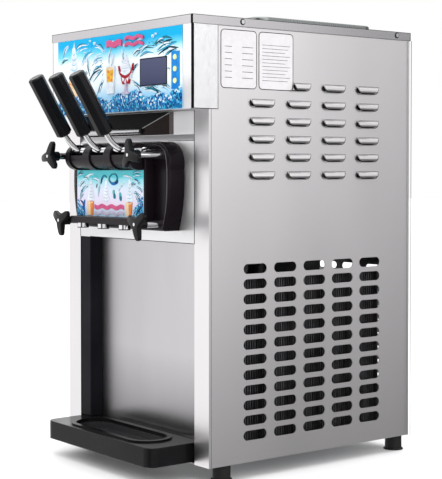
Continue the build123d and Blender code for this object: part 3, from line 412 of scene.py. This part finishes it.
def dress_nodes(frame, looks):
    """Each CAD node gets its material."""
    for look, names in NODE_LOOKS.items():
        for name in names:
            mesh = frame["nodes"][name].data
            mesh.materials.clear()
            mesh.materials.append(looks[look])


# ---------------------------------------------------------------- printed films, and films of painted shade, reflection and highlight


def smooth_path(points, steps=7):
    """Points along a smooth curve through the given ones."""
    path = []
    ends = [points[0]] + list(points) + [points[-1]]
    for before, start, end, after in zip(ends, ends[1:], ends[2:], ends[3:]):
        for step in range(steps):
            t = step / steps
            path.append(tuple(
                0.5 * (2 * b + (c - a) * t + (2 * a - 5 * b + 4 * c - d) * t * t
                       + (3 * b - a - 3 * c + d) * t ** 3)
                for a, b, c, d in zip(before, start, end, after)))
    path.append(tuple(points[-1]))
    return path


def ribbon(points, width):
    """Both edges of a stroke along a smooth curve, thickest in the middle and pointed at its ends."""
    path = smooth_path(points)
    left, right = [], []
    last = len(path) - 1
    for i, (x, z) in enumerate(path):
        ahead, behind = path[min(i + 1, last)], path[max(i - 1, 0)]
        run = math.hypot(ahead[0] - behind[0], ahead[1] - behind[1]) or 1.0
        half = 0.5 * width * math.sin(math.pi * (i + 0.15) / (last + 0.3)) ** 0.8
        off = (-(ahead[1] - behind[1]) / run * half, (ahead[0] - behind[0]) / run * half)
        left.append((x + off[0], z + off[1]))
        right.append((x - off[0], z - off[1]))
    return left, right


def oval(x, z, half_w, half_h, turn=0.0, steps=22):
    """Outline of an ellipse turned by some degrees."""
    lean = math.radians(turn)
    outline = []
    for step in range(steps):
        angle = 2 * math.pi * step / steps
        u, v = half_w * math.cos(angle), half_h * math.sin(angle)
        outline.append((x + u * math.cos(lean) - v * math.sin(lean),
                        z + u * math.sin(lean) + v * math.cos(lean)))
    return outline


def rounded_box(left, right, low, high, corner, steps=5):
    """Outline of a rectangle with round corners."""
    outline = []
    for cx, cz, first in ((right - corner, high - corner, 0), (left + corner, high - corner, 90),
                          (left + corner, low + corner, 180), (right - corner, low + corner, 270)):
        for step in range(steps + 1):
            angle = math.radians(first + 90 * step / steps)
            outline.append((cx + corner * math.cos(angle), cz + corner * math.sin(angle)))
    return outline


class FaceFilm:
    """Shapes on one face, for print and for painted shade, reflection and highlight: thin closed
    prisms, each a hair in front of the one before.

    Outlines are in millimetres: X and Z on a front face, Y and Z on a side face, X and Y on top.
    """

    def __init__(self, name, face, place_m):
        self.name = name
        self.face = face
        self.place = place_m
        self.mesh = bmesh.new()
        self.inks = []
        self.height = FILM_T

    def point(self, u, v, height):
        """Place of a point of the face, in metres."""
        if self.face == "front":
            return (u * MM, self.place - height, v * MM)
        if self.face == "side":
            return (self.place + height, u * MM, v * MM)
        return (u * MM, v * MM, self.place + height)

    def loft(self, rings, ink, closed):
        """Faces between rings of as many points: closed round, or capped at both ends."""
        if ink not in self.inks:
            self.inks.append(ink)
        made = [[self.mesh.verts.new(self.point(*corner)) for corner in ring] for ring in rings]
        count = len(made[0])
        pairs = list(zip(made, made[1:]))
        faces = []
        if closed:
            pairs.append((made[-1], made[0]))
        else:
            faces = [self.mesh.faces.new(made[0]), self.mesh.faces.new(made[-1][::-1])]
        for ring, following in pairs:
            for i in range(count):
                j = (i + 1) % count
                faces.append(self.mesh.faces.new((ring[i], ring[j], following[j], following[i])))
        for face in faces:
            face.material_index = self.inks.index(ink)
        self.height += INK_STEP

    def fill(self, outline, ink, height=0.0):
        """One filled shape in an ink."""
        top = self.height + height
        self.loft([[(u, v, level) for u, v in outline] for level in (-FILM_T, top)], ink, False)

    def stroke(self, points, width, ink, height=0.0):
        """A tapered stroke along a smooth curve."""
        top = self.height + height
        sections = [[(*a, -FILM_T), (*a, top), (*b, top), (*b, -FILM_T)]
                    for a, b in zip(*ribbon(points, width))]
        self.loft(sections, ink, False)

    def frame(self, outer, inner, ink, height=0.0):
        """A closed line between two outlines with as many points."""
        top = self.height + height
        edges = ((outer, -FILM_T), (outer, top), (inner, top), (inner, -FILM_T))
        self.loft([[(u, v, level) for u, v in outline] for outline, level in edges], ink, True)

    def bar(self, left, right, low, high, ink):
        """A filled rectangle."""
        self.fill([(left, low), (right, low), (right, high), (left, high)], ink)

    def finish(self, body):
        """The shapes as one object that rides on a body."""
        bmesh.ops.triangulate(self.mesh, faces=[f for f in self.mesh.faces if len(f.verts) > 4])
        bmesh.ops.recalc_face_normals(self.mesh, faces=self.mesh.faces)
        data = bpy.data.meshes.new(self.name)
        self.mesh.to_mesh(data)
        self.mesh.free()
        piece = bpy.data.objects.new(self.name, data)
        bpy.context.scene.collection.objects.link(piece)
        for ink in self.inks:
            data.materials.append(ink_material(ink))
        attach(piece, body)
        return piece


def ink_material(ink):
    """Material of one ink, made once."""
    name = f"ink_{ink}"
    return bpy.data.materials.get(name) or flat_ink(name, INKS[ink])


def ice_cube(art, x, z, size, turn, inks):
    """A tumbled cube: three facets in three inks."""
    corner = [(x + size * math.cos(math.radians(turn + 60 * k)),
               z + size * math.sin(math.radians(turn + 60 * k))) for k in range(6)]
    for k, ink in zip((0, 2, 4), inks):
        art.fill([(x, z), corner[k], corner[k + 1], corner[(k + 2) % 6]], ink)


def ice_heap(art, left, right, low, top, size, seed):
    """Tumbled ice up to a wavy top line, darker towards the bottom."""
    dice = random.Random(seed)
    light = ["white", "pale_blue", "cyan", "cyan", "blue", "blue", "navy"]
    deep = ["pale_blue", "cyan", "cyan", "blue", "blue", "blue", "navy", "navy", "teal"]
    x = left
    while x < right:
        z = low
        ceiling = top(x)
        while z < ceiling:
            inks = dice.sample(light if z > ceiling - size * 2.4 else deep, 3)
            grow = size * dice.uniform(0.55, 0.95)
            near = min(max(x + dice.uniform(-1, 1), left + grow), right - grow)
            up = max(z + dice.uniform(-0.6, 0.6), low + grow)
            ice_cube(art, near, up, grow, dice.uniform(0, 60), inks)
            z += size * dice.uniform(0.8, 1.15)
        x += size * 0.92


def splash(art, x, z, reach, turn, seed, inks=("teal", "dark_teal", "white", "cyan", "white")):
    """A thrown curl of water: a fan of thin curved strokes and a few drops."""
    dice = random.Random(seed)
    lean = math.radians(turn)

    def at(u, v):
        return (x + reach * (u * math.cos(lean) - v * math.sin(lean)),
                z + reach * (u * math.sin(lean) + v * math.cos(lean)))

    for stroke in range(7):
        start = dice.uniform(-0.55, -0.2)
        end = dice.uniform(0.25, 0.6)
        offset = dice.uniform(-0.10, 0.14)
        bow = dice.uniform(0.04, 0.16)
        middle = (start + end) / 2 + dice.uniform(-0.1, 0.1)
        path = [at(start, offset), at(middle, offset + bow), at(end, offset + dice.uniform(-0.05, 0.1))]
        art.stroke(path, reach * dice.uniform(0.03, 0.075), inks[stroke % len(inks)])
    for drop in range(4):
        u, v = dice.uniform(-0.7, 0.75), dice.uniform(0.05, 0.3)
        art.fill(oval(*at(u, v), reach * 0.026, reach * 0.018, turn, 10), inks[drop % 2])


def swirl(art, x, low, width, height, tint="lilac"):
    """A swirl of soft ice: turns that narrow upwards, each with a softly shaded underside."""
    turns = 6
    for k in range(turns):
        share = k / turns
        half = width / 2 * (1 - share * 0.84)
        middle = low + height * (share * 0.92 + 0.08)
        rise = height / turns * 0.86
        art.fill(oval(x, middle, half, rise, 6), "white")
        art.stroke([(x - half * 0.8, middle - rise * 0.42), (x + half * 0.1, middle - rise * 0.74),
                    (x + half * 0.92, middle - rise * 0.20)], rise * 0.26, tint)
    top = low + height * 0.96
    art.fill([(x - width * 0.07, top - height * 0.06), (x + width * 0.07, top - height * 0.06),
              (x + width * 0.02, low + height * 1.14)], "white")


def wave_band(art, left, z, length, half, ink):
    """A wavy band of one thickness."""
    crest = [(x, z + 1.6 * math.sin(x / 4.5)) for x in range(left, left + length + 2, 2)]
    art.fill([(x, y + half) for x, y in crest] + [(x, y - half) for x, y in crest[::-1]], ink)


def header_art():
    """Generic picture of the header: ice, water curls, wavy bands, a swirl, a glass and a dish."""
    low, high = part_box("header_graphic")
    art = FaceFilm("header_print", "front", low.y)
    left, right, bottom = low.x / MM + 0.3, high.x / MM - 0.3, low.z / MM + 0.3

    def ice_top(x):
        return bottom + 25 + 5 * math.sin(x / 23) + 3 * math.sin(x / 9 + 1)

    swirl(art, -134, 640, 38, 58, "pale_blue")
    art.fill([(-152, 642), (-116, 642), (-122, 612), (-146, 612)], "cream")
    art.stroke([(-152, 636), (-134, 631), (-116, 636)], 2.6, "orange")
    pale = ("white", "cyan", "white", "teal", "white")
    for seed, (x, z, reach, turn) in enumerate((
            (-165, 672, 26, 20), (-84, 660, 30, 100), (-66, 642, 46, 28), (-50, 622, 34, 52),
            (-60, 652, 30, 5), (84, 672, 40, 8), (132, 675, 66, 8), (150, 668, 34, 14),
            (100, 612, 44, -14), (56, 622, 30, -32), (145, 643, 10, -15), (136, 614, 22, -12),
            (52, 650, 22, 34), (-96, 640, 26, 70), (120, 684, 30, 6), (60, 672, 30, 20))):
        splash(art, x, z, reach, turn, seed)
    for seed, (x, z, reach, turn) in enumerate((
            (-110, 691, 36, 8), (-52, 686, 36, -28), (60, 688, 30, 10), (-20, 672, 26, 70),
            (-90, 676, 40, 30), (20, 668, 30, 100), (-60, 668, 36, 15), (-160, 690, 24, 50))):
        splash(art, x, z, reach, turn, seed + 40, pale)
    ice_heap(art, left, right, bottom, ice_top, 4.6, 5)
    for x, z, half in ((-66, 698, 2.2), (-80, 703, 1.5), (104, 697, 2.2), (112, 700, 1.3),
                       (-96, 684, 1.4), (24, 688, 1.4), (40, 692, 1.0), (-10, 697, 1.1)):
        art.fill(oval(x, z, half, half * 1.2, 20), "white")
        art.fill(oval(x + half * 0.3, z - half * 0.3, half * 0.5, half * 0.5), "cyan")
    for x, z, length, half, ink in ((-28, 693, 44, 5.0, "pink"), (26, 699, 52, 2.6, "pink"),
                                    (26, 689, 52, 2.6, "pink")):
        wave_band(art, x, z, length, half, ink)
    art.fill([(-30, 657), (-5, 657), (-8, 612), (-27, 612)], "white")
    art.fill([(-28.5, 653), (-6.5, 653), (-8.6, 631), (-26.4, 631)], "yellow")
    art.fill(oval(-17.5, 653, 11, 3), "cream")
    for x, z in ((-22, 648), (-12, 643), (-21, 638), (-13, 634)):
        art.fill(oval(x, z, 3.2, 2.6), "orange")
    art.stroke([(-17, 655), (-12, 666), (-9, 676)], 2.2, "white")
    swirl(art, 28, 643, 30, 26, "lilac")
    art.fill([(9, 646), (47, 646), (37, 628), (19, 628)], "white")
    art.stroke([(7, 656), (13, 643), (28, 637), (43, 643), (49, 658)], 5.2, "red")
    art.stroke([(15, 640), (21, 627), (28, 637)], 3.6, "red")
    art.stroke([(28, 637), (35, 627), (41, 641)], 3.6, "red")
    art.fill([(26, 628), (30, 628), (31, 612), (25, 612)], "lilac")
    art.fill(oval(28, 611, 12, 2.2), "lilac")
    art.finish("cabinet")


def door_art():
    """Generic picture of the door's film: swirls, water curls, wavy bands, cups and ice."""
    low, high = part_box("door_graphic")
    art = FaceFilm("door_print", "front", low.y)
    bottom = low.z / MM + 0.3
    left, right = low.x / MM + 0.5, high.x / MM - 0.5
    pale = ("mint", "white", "teal", "white", "pale_blue")
    for seed, (x, z, reach, turn) in enumerate((
            (-88, 478, 22, 10), (-86, 462, 24, 32), (-82, 450, 24, 50), (-86, 440, 20, 40),
            (80, 478, 26, 2), (78, 468, 24, -24), (86, 455, 20, -30), (80, 446, 22, -28),
            (88, 434, 24, -42), (78, 440, 22, -60), (-70, 472, 20, -10), (66, 460, 22, 20))):
        splash(art, x, z, reach, turn, seed + 80)
    for seed, (x, z, reach, turn) in enumerate((
            (-60, 476, 26, 10), (52, 474, 26, -10), (-40, 470, 26, -20), (36, 458, 20, 40),
            (-30, 452, 20, 70), (-70, 456, 22, 30))):
        splash(art, x, z, reach, turn, seed + 120, pale)
    swirl(art, -55, 436, 22, 34, "lilac")
    swirl(art, 60, 436, 22, 36, "pale_blue")
    swirl(art, -9, 436, 20, 34, "lilac")
    ice_heap(art, left, left + 24, bottom, lambda x: bottom + 25 - 0.7 * (x - left), 3.2, 7)
    ice_heap(art, right - 28, right, bottom, lambda x: bottom + 11 + 0.8 * (x - right + 28), 3.2, 9)
    art.stroke([(-74, 414), (-77, 426), (-74, 437)], 5, "blue")
    art.stroke([(-88, 436), (-80, 431), (-76, 421)], 3, "navy")
    art.stroke([(78, 414), (88, 424), (97, 429)], 3.4, "dark_teal")
    art.frame(oval(12, 472.5, 13.4, 8.4, 8), oval(12.6, 472.8, 10.4, 6.2, 8), "teal")
    art.stroke([(3, 466), (12, 463.6), (22, 466), (26, 473)], 4.2, "blue")
    art.stroke([(18, 465), (23, 466.4), (26, 470)], 4.6, "navy")
    art.stroke([(-25, 463), (-21, 473), (-13, 477), (-5, 473)], 3.4, "teal")
    art.stroke([(-24, 464), (-22, 470), (-18, 474)], 2.6, "navy")
    for z, half, ink in ((426, 3.4, "pink"), (416, 2.4, "lilac")):
        wave_band(art, -44, z, 88, half, ink)
    for x in (-56, 58):
        art.fill([(x - 10, 435), (x + 10, 435), (x + 7, 411.5), (x - 7, 411.5)], "cream")
        art.fill([(x - 1, 435), (x + 10, 435), (x + 7, 411.5), (x + 1, 411.5)], "orange")
        art.stroke([(x - 10, 434.5), (x, 432.0), (x + 10, 434.5)], 2.6, "cream")
    for x, z, ink in ((14, 450, "mint"), (16, 444, "teal"), (33, 446, "mint"), (34, 441, "teal")):
        art.fill(oval(x, z, 3.0, 4.4, 12), ink)
    art.stroke([(-38, 457), (-37, 460), (-36, 464)], 2.0, "grey")
    art.finish("cabinet")


def window_frame():
    """Dark border round the display's window."""
    left, right, low, high = WINDOW
    art = FaceFilm("window_border", "front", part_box("header_graphic")[0].y)
    outer, inner = ([(left - out, low - out), (right + out, low - out), (right + out, high + out),
                     (left - out, high + out)] for out in (WINDOW_BORDER, 0.0))
    art.frame(outer, inner, "near_black", 0.5 * MM)
    art.finish("cabinet")


def plate_lines():
    """Dark border on each of the two side plates, with empty rules like a blank form."""
    low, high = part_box("side_plates")
    bottom, top = low.z / MM, high.z / MM
    art = FaceFilm("plate_lines", "side", high.x)
    first, second = low.y / MM, high.y / MM - PLATE_WIDTH
    for front in (first, second):
        back = front + PLATE_WIDTH
        art.frame(rounded_box(front, back, bottom, top, 7),
                  rounded_box(front + 1.2, back - 1.2, bottom + 1.2, top - 1.2, 5.8), "seam_and_shade")
    for row in range(6):
        z = top - 27 - row * 9.6
        art.bar(first + 8, first + 22, z, z + 0.9, "rule")
        art.bar(first + 42, first + 64, z, z + 0.9, "rule")
    for row in range(11):
        z = top - 21 - row * 5.6
        art.bar(second + 7, second + PLATE_WIDTH - 7 - 5 * (row % 3), z, z + 0.7, "rule")
    art.finish("cabinet")


def front_seams_and_shade():
    """Dark gaps between the front panels; painted shade along the dispense panel's fold and down the
    folded corners of the header and the cap; a dark line along the cap's top edge.
    """
    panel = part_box("dispense_panel")
    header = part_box("header_shell")
    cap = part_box("top_cover")
    art = FaceFilm("panel_seams_and_fold_shade", "front", panel[0].y)
    edge, bottom, top = SEAM_EDGE, panel[0].z / MM, header[0].z / MM
    for side in (-1, 1):
        art.bar(*sorted((side * (edge - 0.8), side * (edge + 0.8))), bottom, top, "seam_and_shade")
    art.bar(-edge + 31, edge - 0.5, bottom - 0.1, bottom + 1.0, "seam_and_shade")
    # Painted shade along the fold of the dispense panel, darker from X 96 to the right gap
    art.bar(-edge, edge - 0.5, PANEL_FOLD - 1.2, PANEL_FOLD - 0.4, "grey")
    art.bar(96, edge - 0.5, PANEL_FOLD - 1.6, PANEL_FOLD - 0.4, "seam_and_shade")
    art.finish("cabinet")
    art = FaceFilm("header_corner_shade", "front", header[0].y)
    half = header[1].x / MM
    # Painted shade down the header's folded front corners, wide on the right and thin on the left
    art.bar(half - 3.2, half, top, cap[0].z / MM, "seam_and_shade")
    art.bar(-half, -half + 1.0, top, cap[0].z / MM, "seam_and_shade")
    art.finish("cabinet")
    art = FaceFilm("cap_corner_shade_and_edge", "front", cap[0].y)
    half, brim = cap[1].x / MM, cap[1].z / MM
    rim = brim - 14
    # Painted shade down the cap's folded front corners, and a dark line along its top edge
    art.bar(half - 3.2, half, rim, brim, "seam_and_shade")
    art.bar(-half, half, brim - 0.8, brim, "seam_and_shade")
    art.bar(-half, -half + 1.0, rim, brim, "seam_and_shade")
    art.finish("cabinet")


def side_seams_and_shade():
    """Dark gaps round the header's side wrap, the cap's rim and the side panel; painted shade down the
    front corners of the header and the cap; and outlines of painted shade round the louvres' mouths.

    The rim's screws get rings. The panel's gaps and the louvres' outlines lie at the crests of
    the louvres.
    """
    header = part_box("header_shell")
    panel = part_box("side_panel_right")
    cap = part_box("top_cover")
    front, back = header[0].y / MM, header[1].y / MM
    bottom, top = header[0].z / MM, CAP_RIM
    art = FaceFilm("wrap_seams_and_shade", "side", header[1].x)
    # Painted shade down the header's folded front corner
    art.bar(front, front + 3.2, bottom, top, "near_black")
    art.bar(front, back, bottom, bottom + 1.1, "seam_and_shade")
    art.bar(back - 0.9, back, bottom, top, "seam_and_shade")
    art.finish("cabinet")
    art = FaceFilm("rim_seams_and_shade", "side", cap[1].x)
    art.bar(cap[0].y / MM, cap[1].y / MM, top, top + 0.6, "rule")
    art.bar(cap[0].y / MM, cap[1].y / MM, cap[1].z / MM - 0.8, cap[1].z / MM, "seam_and_shade")
    art.bar(cap[1].y / MM - 1.2, cap[1].y / MM, top, cap[1].z / MM, "seam_and_shade")
    # Painted shade down the cap's folded front corner
    art.bar(cap[0].y / MM, cap[0].y / MM + 2.0, top, cap[1].z / MM, "seam_and_shade")
    for y, z in CAP_SCREWS:
        outer, inner = (oval(y, z, radius, radius) for radius in SCREW_RING)
        art.frame(outer, inner, "seam_and_shade", 0.3 * MM)
    art.finish("cabinet")
    art = FaceFilm("corner_seams_and_louvre_shade", "side", panel[1].x)
    art.bar(panel[0].y / MM, panel[0].y / MM + 0.9, panel[0].z / MM, bottom, "rule")
    art.bar(panel[1].y / MM - 1.4, panel[1].y / MM, panel[0].z / MM, top, "rule")
    columns, rows = LOUVRE_GRID
    for row in range(rows):
        for col in range(columns):
            if row or col:
                y = col * LOUVRE_PITCH[0] + LOUVRE_FIRST[0]
                z = LOUVRE_FIRST[1] - LOUVRE_PITCH[1] * row
                shift = PLATE_CUT if not row and col == 1 else 0.0
                start = y + LOUVRE_EDGE[0][0] + shift
                outline = [(max(y + u, start), z + v) for u, v in LOUVRE_EDGE]
                # Painted shade along the curved mouth of each louvre
                art.stroke(outline, 1.5, "seam_and_shade")
                art.bar(y - 23 + shift, y + 23.6, z, z + 0.7, "rule")
    art.finish("cabinet")


def painted_header_reflection(steel):
    """Painted reflection in the recess under the header: a dark plate with a slanting edge and a light
    line, over a steel roll.
    """
    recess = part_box("dispense_panel")[0].y + 6 * MM
    left, low, top = RECESS_LEFT, REFLECTION_FOOT, REFLECTION_TOP
    art = FaceFilm("painted_reflection_plate", "front", recess)
    # Painted reflection: dark brown, black above the slanting edge, a light line along that edge and a
    # black notch at its foot
    art.bar(left, 104, low, top, "painted_reflection_brown")
    art.bar(left, 92, low, top, "painted_reflection_dark")
    art.fill([(left, 555), (16, 555), (94, 578.6), (94, top), (left, top)], "seam_and_shade")
    art.fill([(16, 554.2), (94, 577.8), (94, 579.2), (15, 555.4)], "edge")
    art.fill([(15, 545.4), (15, 555), (25, 552.4)], "near_black", 0.4 * MM)
    art.finish("cabinet")
    roll = FaceFilm("recess_roll", "side", left * MM)
    roll.fill(oval(recess / MM - 2.0, ROLL_Z, ROLL_R, ROLL_R), "edge", ROLL_LENGTH * MM)
    piece = roll.finish("cabinet")
    piece.data.materials[0] = steel


def painted_door_highlight():
    """Painted highlight: a light line along the rounded edge of the door's flange."""
    art = FaceFilm("painted_door_highlight", "front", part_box("dispense_panel")[0].y - 30 * MM)
    for side in (-1, 1):
        art.stroke([(side * x, z) for x, z in DOOR_HIGHLIGHT], 1.0, "painted_highlight", 0.2 * MM)
    art.finish("cabinet")


def lid_foot_lines():
    """Black line round the foot of each hopper lid."""
    for side in ("left", "right"):
        low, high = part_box(f"hopper_lid_{side}")
        art = FaceFilm(f"lid_foot_line_{side}", "top", low.z)
        outer, inner = (
            rounded_box(low.x / MM - out, high.x / MM + out, low.y / MM - out, high.y / MM + out,
                        20 + out) for out in (0.9, -0.6))
        art.frame(outer, inner, "near_black", 2.4 * MM)
        art.finish(f"hopper_lid_{side}")


def nozzle_rims():
    """Thin black ring at the mouth of each outlet."""
    low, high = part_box("outlet_nozzles")
    art = FaceFilm("nozzle_rims", "top", low.z)
    y = (low.y / MM + high.y / MM) / 2
    for x in NOZZLE_X:
        outer, inner = (oval(x, y, radius, radius) for radius in (NOZZLE_R + 0.35, NOZZLE_R - 1))
        art.frame(outer, inner, "near_black", 1.3 * MM)
    art.finish("cabinet")


# ---------------------------------------------------------------- stage, light, camera


def make_floor():
    """Large pale floor under the feet."""
    bpy.ops.mesh.primitive_plane_add(size=30, location=(0, 0, 0))
    floor = bpy.context.active_object
    floor.name = "floor"
    material, tree, shader = new_material("floor_white", (0.86, 0.86, 0.87), 0.55)
    slow = noise(tree, (2, 2, 2), 2.0, 0.5)
    tree.links.new(ramp(tree, slow, [(0.3, (0.85, 0.85, 0.86)), (0.7, (0.88, 0.88, 0.885))]),
                   shader.inputs["Base Color"])
    floor.data.materials.append(material)
    floor.visible_glossy = False


def area_light(name, at, toward, size, power):
    """Rectangular soft light that faces a point."""
    data = bpy.data.lights.new(name, "AREA")
    data.shape = "RECTANGLE"
    data.size, data.size_y = size
    data.energy = power
    light = bpy.data.objects.new(name, data)
    bpy.context.scene.collection.objects.link(light)
    light.location = at
    light.rotation_euler = (Vector(toward) - Vector(at)).to_track_quat("-Z", "Y").to_euler()
    return light


def make_world():
    """Studio that looks white to the camera.

    What the object mirrors is a glow: brightest out to the right, dimmer low down and towards the
    rear, with a narrow dark card in front and an even roof.
    """
    world = bpy.data.worlds.new("studio")
    bpy.context.scene.world = world
    world.use_nodes = True
    tree = world.node_tree
    glow = tree.nodes["Background"]
    coords = tree.nodes.new("ShaderNodeTexCoord")
    split = tree.nodes.new("ShaderNodeSeparateXYZ")
    tree.links.new(coords.outputs["Generated"], split.inputs["Vector"])
    turn = tree.nodes.new("ShaderNodeMath")
    turn.operation = "ARCTAN2"
    tree.links.new(split.outputs["Y"], turn.inputs[0])
    tree.links.new(split.outputs["X"], turn.inputs[1])
    around = spread(tree, turn.outputs[0], 0.0, 1.0, -math.pi, math.pi)
    upper, lower, above, dark = grey(0.70), grey(0.60), grey(1.24), grey(0.04)
    high_band = ramp(tree, around, [
        (0.0, upper), (0.25, upper), (0.28, dark), (0.34, dark), (0.37, upper), (0.42, upper),
        (0.50, above), (0.592, above), (0.630, grey(0.20)),
        (0.80, grey(0.22)), (0.90, upper), (1.0, upper)])
    low_band = ramp(tree, around, [
        (0.0, lower), (0.25, lower), (0.28, dark), (0.34, dark), (0.37, grey(0.4)),
        (0.585, grey(0.10)), (0.66, grey(0.08)), (0.80, grey(0.12)), (0.90, lower), (1.0, lower)])
    rise = spread(tree, split.outputs["Z"], 0.0, 1.0, *GLOW_RISE)
    sides = mix(tree, rise, low_band, high_band)
    roof = spread(tree, split.outputs["Z"], 0.0, 1.0, *GLOW_ROOF)
    whole = mix(tree, roof, sides, (*grey(0.8), 1))
    tree.links.new(whole, glow.inputs["Color"])
    glow.inputs["Strength"].default_value = GLOW_STRENGTH
    plain = node(tree, "ShaderNodeBackground", Color=(1, 1, 1, 1), Strength=1.0)
    seen = tree.nodes.new("ShaderNodeLightPath")
    blend = tree.nodes.new("ShaderNodeMixShader")
    tree.links.new(seen.outputs["Is Camera Ray"], blend.inputs[0])
    tree.links.new(glow.outputs[0], blend.inputs[1])
    tree.links.new(plain.outputs[0], blend.inputs[2])
    tree.links.new(blend.outputs[0], tree.nodes["World Output"].inputs["Surface"])


def make_lights():
    """Big soft lights left and above."""
    area_light("key_left", (-1.6, -2.6, 1.6), (0, 0, 0.4), (1.8, 2.2), 9)
    area_light("top", (0.2, 0.0, 2.8), (0, 0, 0.3), (2.2, 2.2), 26)


def make_camera():
    """Camera at the photograph's viewing angle."""
    data = bpy.data.cameras.new("camera")
    data.lens = CAMERA_LENS
    data.shift_y = CAMERA_SHIFT_Y
    data.clip_end = 60
    camera = bpy.data.objects.new("camera", data)
    bpy.context.scene.collection.objects.link(camera)
    camera.location = CAMERA_AT
    turn = math.radians(CAMERA_AZIMUTH)
    pitch = math.radians(CAMERA_PITCH)
    aim = Vector((-math.sin(turn) * math.cos(pitch), math.cos(turn) * math.cos(pitch),
                  math.sin(pitch)))
    camera.rotation_euler = aim.to_track_quat("-Z", "Y").to_euler()
    bpy.context.scene.camera = camera
    bpy.context.scene.view_settings.view_transform = "Standard"


def main():
    """Dress the nodes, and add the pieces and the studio."""
    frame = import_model()
    looks = make_materials()
    dress_nodes(frame, looks)
    header_art()
    door_art()
    window_frame()
    plate_lines()
    front_seams_and_shade()
    side_seams_and_shade()
    painted_header_reflection(looks["bare_steel"])
    painted_door_highlight()
    lid_foot_lines()
    nozzle_rims()
    make_floor()
    make_world()
    make_lights()
    make_camera()


main()
